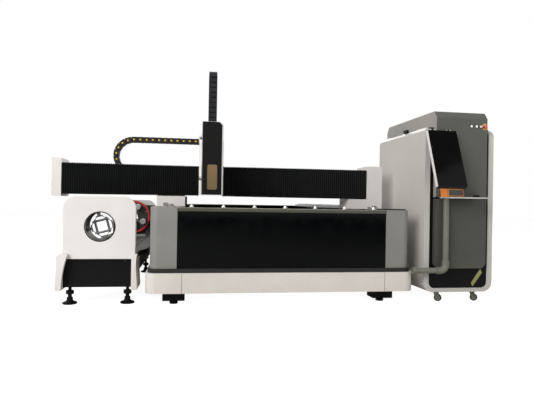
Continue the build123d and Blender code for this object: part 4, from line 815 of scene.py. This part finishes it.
# %% [markdown]
# ## Small parts of the bed
# Seven ball transfers stand on the steel rail, each a pressed cup with a steel ball in it.
# The bed stands on foot blocks with levelling pads, and the tube unit on tall levelling
# feet with lock nuts.

# %% Ball transfers
transfer_low, transfer_high = span("ball_transfers")
transfer_count = 7
cup_radius = (transfer_high.y - transfer_low.y) / 2
cup_pitch = (transfer_high.x - transfer_low.x - 2 * cup_radius) / (transfer_count - 1)
cup_profile = ((0, 0), (cup_radius, 0), (cup_radius, 0.003), (0.0195, 0.0045), (0.0192, 0.012),
               (0.0175, 0.0155), (0.0160, 0.0155), (0.0160, 0.010), (0, 0.010))
ball_radius = 0.017
transfer_form = bmesh.new()
for number in range(transfer_count):
    cup_x = transfer_low.x + cup_radius + number * cup_pitch
    cup_y = transfer_low.y + cup_radius
    add_turned(transfer_form, cup_profile, (cup_x, cup_y, transfer_low.z), steps=24)
    ball = bmesh.new()
    bmesh.ops.create_uvsphere(ball, u_segments=20, v_segments=12, radius=ball_radius,
                              matrix=Matrix.Translation((cup_x, cup_y, transfer_high.z - ball_radius)))
    pour(transfer_form, ball, 1)
add_piece("machine", "ball_transfer_cups", transfer_form, "chrome", zinc, ball_steel,
          node="ball_transfers")

# %% Levelling feet under the tube unit and foot blocks under the bed
foot_left = span("levelling_feet")[0].x + 0.065
foot_spacing = 0.502
tube_foot = ((0, 0), (0.060, 0), (0.064, 0.004), (0.064, 0.012), (0.058, 0.017), (0.036, 0.024),
             (0.027, 0.036), (0.0255, 0.060), (0.0170, 0.062), (0.0170, 0.085), (0.0145, 0.086),
             (0.0145, 0.2), (0, 0.2))
lock_nut = ((0, 0.088), (0.034, 0.088), (0.0355, 0.091), (0.0355, 0.119), (0.034, 0.122), (0, 0.122))
top_nut = ((0.0145, 0.176), (0.034, 0.176), (0.034, 0.1995), (0.0145, 0.1995))
block_pad = ((0, 0), (0.036, 0), (0.038, 0.003), (0.038, 0.020), (0.030, 0.026), (0.030, 0.036))
block_bolt = ((0, 0), (0.011, 0), (0.011, 0.005), (0, 0.005))
feet_form = bmesh.new()
for foot_x in (foot_left, foot_left + foot_spacing):
    for foot_y in (-1.827, 0.159, 2.145):
        for profile, steps in ((tube_foot, 28), (lock_nut, 6), (top_nut, 6)):
            add_turned(feet_form, profile, (foot_x, foot_y, 0), steps=steps)
for block_x in (-0.932, 1.048):
    for block_y in (-1.874, 0.116, 2.106):
        add_box(feet_form, (block_x - 0.1, block_y - 0.08, 0.035), (block_x + 0.1, block_y + 0.08, 0.13),
                width=0.004)
        add_turned(feet_form, block_pad, (block_x, block_y, 0), steps=24)
        for bolt_x in (block_x - 0.07, block_x + 0.07):
            add_turned(feet_form, block_bolt, (bolt_x, block_y - 0.0798, 0.082), front_way, steps=6)
add_piece("machine", "feet_and_blocks", feet_form, "black_paint", black_paint, smooth=30,
          node="levelling_feet")

# %% [markdown]
# ## Slats of the cutting table
# A sheet lies on the points of upright slats of 6 mm plate. A slat is a grid one cell high:
# two cells make a tooth, because every second top vertex is pulled down, and a solidify
# operator gives the plate.

# %% Saw-tooth slats
slat_low, slat_high = span("slat_table")
slat_left, slat_right = -0.893, 1.009
slat_middle = (slat_left + slat_right) / 2
slat_height = 0.1
slat_centre_z = slat_high.z - slat_height / 2
slat_count = 27
slat_pitch = 0.15
first_slat_y = -1.958
tooth_count = 50
tooth_depth = 0.022
slat_form = bmesh.new()
for number in range(slat_count):
    part = bmesh.new()
    bmesh.ops.create_grid(part, x_segments=2 * tooth_count, y_segments=1, size=0.5)
    part.transform(Matrix.Translation((slat_middle, first_slat_y + slat_pitch * number, slat_centre_z))
                   @ Matrix.Rotation(math.pi / 2, 4, "X")
                   @ Matrix.Diagonal((slat_right - slat_left, slat_height, 1, 1)))
    tops = sorted((vert for vert in part.verts if vert.co.z > slat_centre_z), key=lambda vert: vert.co.x)
    for vert in tops[::2]:
        vert.co.z -= tooth_depth
    bmesh.ops.solidify(part, geom=part.faces, thickness=0.006)
    bmesh.ops.recalc_face_normals(part, faces=part.faces)
    pour(slat_form, part)
for comb_x in (slat_middle - 0.956, slat_middle + 0.956):
    add_box(slat_form, (comb_x - 0.05, -1.624, slat_low.z), (comb_x + 0.05, 2.116, slat_low.z + 0.0238),
            width=0.002, material=1)
add_piece("machine", "saw_tooth_slats", slat_form, "steel", burnt, dark_paint, smooth=0, node="slat_table")

# %% [markdown]
# ## Seams, screws and the tray on the deck
# Sheet covers meet in narrow seams and are held by button-head screws, which say how large
# the machine is. A seam is a dark strip that stands a hair proud of the cover: painted shade
# of the narrow gap between two covers.

# %% Cap screws and seams
plinth_low, plinth_high = span("plinth")
post_low, post_high = span("corner_posts")
seam_half = 0.0015
seam_proud = 0.0006
# The seam strips are painted shade in the gaps between covers.
seam_form = bmesh.new()
for seam_x in (-0.86, 1.0):
    add_box(seam_form, (seam_x - seam_half, plinth_low.y - seam_proud, plinth_low.z + 0.002),
            (seam_x + seam_half, plinth_low.y + seam_proud, plinth_high.z - 0.002))
for low, high, seams in ((plinth_low, plinth_high, (-1.0, 0.45, 1.9)),
                         (post_low, post_high, (-0.60, 0.78))):
    for side_x in (low.x, high.x):
        for seam_y in seams:
            add_box(seam_form, (side_x - seam_proud, seam_y - seam_half, low.z + 0.002),
                    (side_x + seam_proud, seam_y + seam_half, high.z - 0.002))
add_piece("machine", "bed_seams", seam_form, "rubber", gap_shade_black, smooth=0)
screw_form = bmesh.new()
for post_x, plinth_x, way in ((post_low.x, plinth_low.x, (-1, 0, 0)),
                              (post_high.x, plinth_high.x, (1, 0, 0))):
    for screw_y in (-1.70, -1.15, -0.66, -0.54, 0.1, 0.72, 0.84, 1.5, 2.2):
        for screw_z in (post_low.z + 0.06, post_high.z - 0.06):
            add_cap_screw(screw_form, (post_x, screw_y, screw_z), way, steps=12)
    for screw_y in (-1.9, -1.06, -0.94, 0.39, 0.51, 1.84, 1.96, 2.25):
        add_cap_screw(screw_form, (plinth_x, screw_y, 0.22), way, steps=12)
add_piece("machine", "bed_screws", screw_form, "black_plastic", socket_black, smooth=30)

# %% A dark tray on the right post and the latch on its side
tray_form = bmesh.new()
add_box(tray_form, (post_high.x - 0.235, -2.03, post_high.z),
        (post_high.x - 0.018, -1.83, post_high.z + 0.012), width=0.004)
add_turned(tray_form, ((0, 0), (0.011, 0), (0.013, 0.003), (0.013, 0.016), (0.009, 0.020), (0, 0.020)),
           (post_high.x - 0.0002, -1.93, 0.70), (1, 0, 0), steps=20)
add_piece("machine", "deck_tray", tray_form, "dark_grey", dark_paint)

# %% [markdown]
# ## The chucks of the tube unit
# Through the round mouth of the front cover show a dark drum and its four jaws, which keep
# their CAD shape. Behind it stands the rear chuck, a dark disc with a red rim and steel
# clamps on its face.

# %% Mouth ring, red rim, clamp faces and the drum's screws
ring_low, ring_high = span("rear_ring")
chuck_x, chuck_z, _ = middle_of("front_drum")
mouth = add_ring(bmesh.new(), 0.1255, 0.1345, 0.0035, (chuck_x, span("chuck_cover")[0].y + 0.0005, chuck_z))
add_piece("machine", "mouth_ring", mouth, "black_paint", black_paint)
rim = add_ring(bmesh.new(), 0.2045, (ring_high.x - ring_low.x) / 2, 0.0285, (chuck_x, ring_high.y, chuck_z),
               steps=80)
add_piece("rear_chuck", "red_rim", rim, "red", red_paint)
clamp_form = bmesh.new()
for clamp in around((chuck_x, ring_low.y + 0.0005, chuck_z), 0.155, 4, -25):
    add_turned(clamp_form, ((0, 0), (0.040, 0), (0.041, 0.0005), (0.036, 0.004), (0.020, 0.004),
                            (0.018, 0.001), (0, 0.001)), clamp, front_way, steps=28)
    for bolt in around(clamp, 0.028, 6, 0):
        add_turned(clamp_form, ((0, 0.0035), (0.004, 0.0035), (0.004, 0.007), (0, 0.007)), bolt, front_way,
                   steps=6)
for screw in around((chuck_x, ring_high.y - 0.0273, chuck_z), 0.188, 8, 22.5):
    add_cap_screw(clamp_form, screw)
add_piece("rear_chuck", "clamp_faces", clamp_form, "zinc", zinc)
drum_form = bmesh.new()
for screw in around((chuck_x, span("front_drum")[1].y, chuck_z), 0.157, 8, 22.5):
    add_cap_screw(drum_form, screw, (0, 1, 0))
add_piece("front_chuck", "drum_screws", drum_form, "zinc", zinc)

# %% Screws of the skirts and the front panel
base_low = span("tube_base")[0]
panel_low, panel_high = span("tube_panel")
base_form = bmesh.new()
for number in range(9):
    for screw_z in (0.26, 0.38):
        add_cap_screw(base_form, (base_low.x, base_low.y + 0.35 + 0.45 * number, screw_z), (-1, 0, 0))
for screw_x in (panel_low.x + 0.06, panel_high.x - 0.06):
    for screw_z in (panel_low.z + 0.02, panel_high.z - 0.02):
        add_cap_screw(base_form, (screw_x, panel_low.y, screw_z))
add_piece("machine", "tube_unit_screws", base_form, "black_plastic", socket_black)

# %% [markdown]
# ## The control cabinet
# The tall screen leans back, so its parts are drawn in the plane of its face: one matrix
# with the width as X and the slope as Y. The kick panel has a diagonal warning bar with no
# words on it, and the push buttons get turned caps and collars.

# %% The leaning screen
screen_low, screen_high = span("monitor")
lean = math.radians(22)
slope = Vector((0, math.sin(lean), math.cos(lean)))
screen_face = Vector((0, -math.cos(lean), math.sin(lean)))
housing_wall = 0.04
screen_corner = Vector((screen_low.x, screen_low.y, screen_low.z + housing_wall * math.sin(lean)))
screen_width = screen_high.x - screen_low.x
screen_height = 0.58
glass = add_plate(bmesh.new(), axes(screen_corner + screen_face * 0.0001, (1, 0, 0), slope),
                  rectangle(0.004, 0.006, screen_width - 0.003, screen_height - 0.003), 0.0016,
                  rounding=0.004, width=0.0005)
add_piece("screen", "screen_glass", glass, "black_gloss", gloss_black, smooth=40)
rail_corner = screen_corner - screen_face * (housing_wall - 0.001) + Vector((-0.0012, 0, 0))
rail = add_plate(bmesh.new(), axes(rail_corner, screen_face, slope),
                 rectangle(0.0, 0.004, housing_wall - 0.002, screen_height - 0.001), 0.0016,
                 rounding=0.003, width=0.0005)
add_piece("screen", "screen_side_rail", rail, "light_grey", white_paint, smooth=40)
# The vents are thin dark plates: painted shade where the slots are.
vent_form = bmesh.new()
back_corner = screen_corner - screen_face * (housing_wall + 0.0006) + Vector((screen_width, 0, 0))
for number in range(14):
    low_edge = 0.33 + 0.012 * number
    add_plate(vent_form, axes(back_corner, (-1, 0, 0), slope),
              rectangle(0.05, low_edge, screen_width - 0.05, low_edge + 0.005), 0.0012, rounding=0.0024,
              segments=2)
add_piece("screen", "screen_vents", vent_form, "black_plastic", gap_shade_black, smooth=0)

# %% Warning bar on the kick panel
bar_points = ((1.9228, 0.1862), (1.9407, 0.1520), (2.0380, 0.2854), (2.0191, 0.3246))
bar = add_plate(bmesh.new(), upright(span("kick_panel")[0].y + 0.0002), bar_points, 0.0012, rounding=0.002,
                segments=2)
add_piece("machine", "warning_bar", bar, "beige", yellow_film, smooth=0)

# %% Collars and caps of the buttons
collar_y = span("start_button")[0].y + 0.006 - 0.0028
stop_x, stop_z, _ = middle_of("emergency_stop")
collar = add_ring(bmesh.new(), 0.0208, 0.030, 0.0016, (stop_x, collar_y, stop_z), edge=0.0006, steps=40)
add_piece("machine", "emergency_collar", collar, "beige", stop_yellow)
button_form = bmesh.new()
for node in ("start_button", "stop_button", "key_switch"):
    button_x, button_z, button_y = middle_of(node)
    add_ring(button_form, 0.0116, 0.0175, 0.0012, (button_x, collar_y, button_z), edge=0.0004, steps=28)
    if node != "key_switch":
        cap = add_turned(bmesh.new(), ((0, 0), (0.0085, 0), (0.0085, 0.0006), (0.0070, 0.0016), (0, 0.0020)),
                         (button_x, button_y + 0.0001, button_z), front_way, steps=24)
        add_piece(node.split("_")[0], node + "_cap", cap, "light_grey", pale_paint, smooth=40)
add_piece("machine", "button_collars", button_form, "rubber", rubber)

# %% [markdown]
# ## The hand-held pendant
# On the shelf stands a small hand unit that leans back. Its orange frame is a plate with
# rounded corners and a hole, and the grey pad is a second plate with three rows of keys.

# %% Pendant in its orange frame
pad_lean = math.radians(14)
pad_slope = Vector((0, math.sin(pad_lean), math.cos(pad_lean)))
pad_height = 0.074
pad_foot_y = span("lower_panel")[0].y - pad_height * math.sin(pad_lean) - 0.018
pad_place = axes((1.618, pad_foot_y, span("desk_shelf")[1].z + 0.0045), (1, 0, 0), pad_slope)
key_pitch = 0.0165
pendant_form = bmesh.new()
add_plate(pendant_form, pad_place, rectangle(0.0, 0.0, 0.165, pad_height), 0.016, rounding=0.012,
          hole=rectangle(0.010, 0.009, 0.155, pad_height - 0.009), hole_rounding=0.006, width=0.002,
          segments=4)
add_plate(pendant_form, pad_place @ Matrix.Translation((0, 0, 0.002)),
          rectangle(0.009, 0.008, 0.156, pad_height - 0.008), 0.010, rounding=0.005, width=0.0006,
          material=1)
for row in range(3):
    for column in range(8):
        left = 0.018 + column * key_pitch
        low_edge = 0.014 + row * key_pitch
        add_plate(pendant_form, pad_place @ Matrix.Translation((0, 0, 0.0118)),
                  rectangle(left, low_edge, left + 0.012, low_edge + 0.0115), 0.0018, rounding=0.002,
                  segments=2, width=0.0004, material=2)
add_piece("machine", "pendant_pad", pendant_form, "orange", orange_plastic, pad_grey, key_grey, smooth=40)

# %% [markdown]
# ## Casters, vents and fittings
# A caster's wheel is a dark tyre on a grey hub, so it is two turned profiles. The front
# wheels stand at an angle, as they were left. The rear door has rows of vents, drawn as thin
# dark plates of painted shade on its face.

# %% Turned wheels with tyres
tyre = ((0.0245, -0.0100), (0.0320, -0.0128), (0.0345, -0.0110), (0.0360, -0.0060), (0.0360, 0.0060),
        (0.0345, 0.0110), (0.0320, 0.0128), (0.0245, 0.0100), (0.0245, -0.0100))
hub = ((0.0041, -0.0128), (0.0090, -0.0128), (0.0100, -0.0060), (0.0220, -0.0060), (0.0250, -0.0105),
       (0.0250, 0.0105), (0.0220, 0.0060), (0.0100, 0.0060), (0.0090, 0.0128), (0.0041, 0.0128),
       (0.0041, -0.0128))
caster_turn = math.radians(-35)
front_axle = (math.sin(caster_turn), -math.cos(caster_turn), 0)
for side in ("left", "right"):
    for end, axle in (("front", front_axle), ("rear", (1, 0, 0))):
        node = f"{end}_wheel_{side}"
        middle = sum(span(node), Vector()) / 2
        wheel_form = bmesh.new()
        add_turned(wheel_form, tyre, middle, axle, steps=40)
        add_turned(wheel_form, hub, middle, axle, steps=32, material=1)
        add_piece(f"wheel_{end}_{side}", f"{end}_caster_{side}", wheel_form, "rubber", tyre_rubber,
                  grey_plastic, node=node)

# %% Vents of the rear door
# Each vent is a thin dark plate on the door: painted shade in its slot.
door_form = bmesh.new()
door_place = axes((0, span("rear_door")[0].y + 0.020, 0), (-1, 0, 0), (0, 0, 1))
for bank in (0.42, 1.30):
    for number in range(12):
        low_edge = bank + 0.016 * number
        for left in (-2.02, -1.77):
            add_plate(door_form, door_place, rectangle(left, low_edge, left + 0.21, low_edge + 0.006),
                      0.0016, rounding=0.0028)
add_piece("service_door", "rear_door_vents", door_form, "black_plastic", gap_shade_black, smooth=0)

# %% A black bracket beside the left gantry foot, and screws of the gantry
bracket_form = bmesh.new()
add_box(bracket_form, (-0.8468, -1.3960, 0.890), (-0.8270, -1.3560, 0.985), width=0.002)
for screw_z in (0.905, 0.968):
    add_cap_screw(bracket_form, (-0.8370, -1.3960, screw_z))
cap_low, cap_high = span("end_caps")
for screw_y in (cap_low.y + 0.035, cap_high.y - 0.035):
    for screw_z in (1.02, 1.155, 1.29):
        add_cap_screw(bracket_form, (cap_high.x, screw_y, screw_z), (1, 0, 0))
add_piece("gantry", "gantry_fittings", bracket_form, "black_paint", black_paint)


# %% A helper for corners as plain lists
def plain(box):
    """Corners as plain lists of numbers."""
    return [[round(float(part), 5) for part in corner] for corner in box]
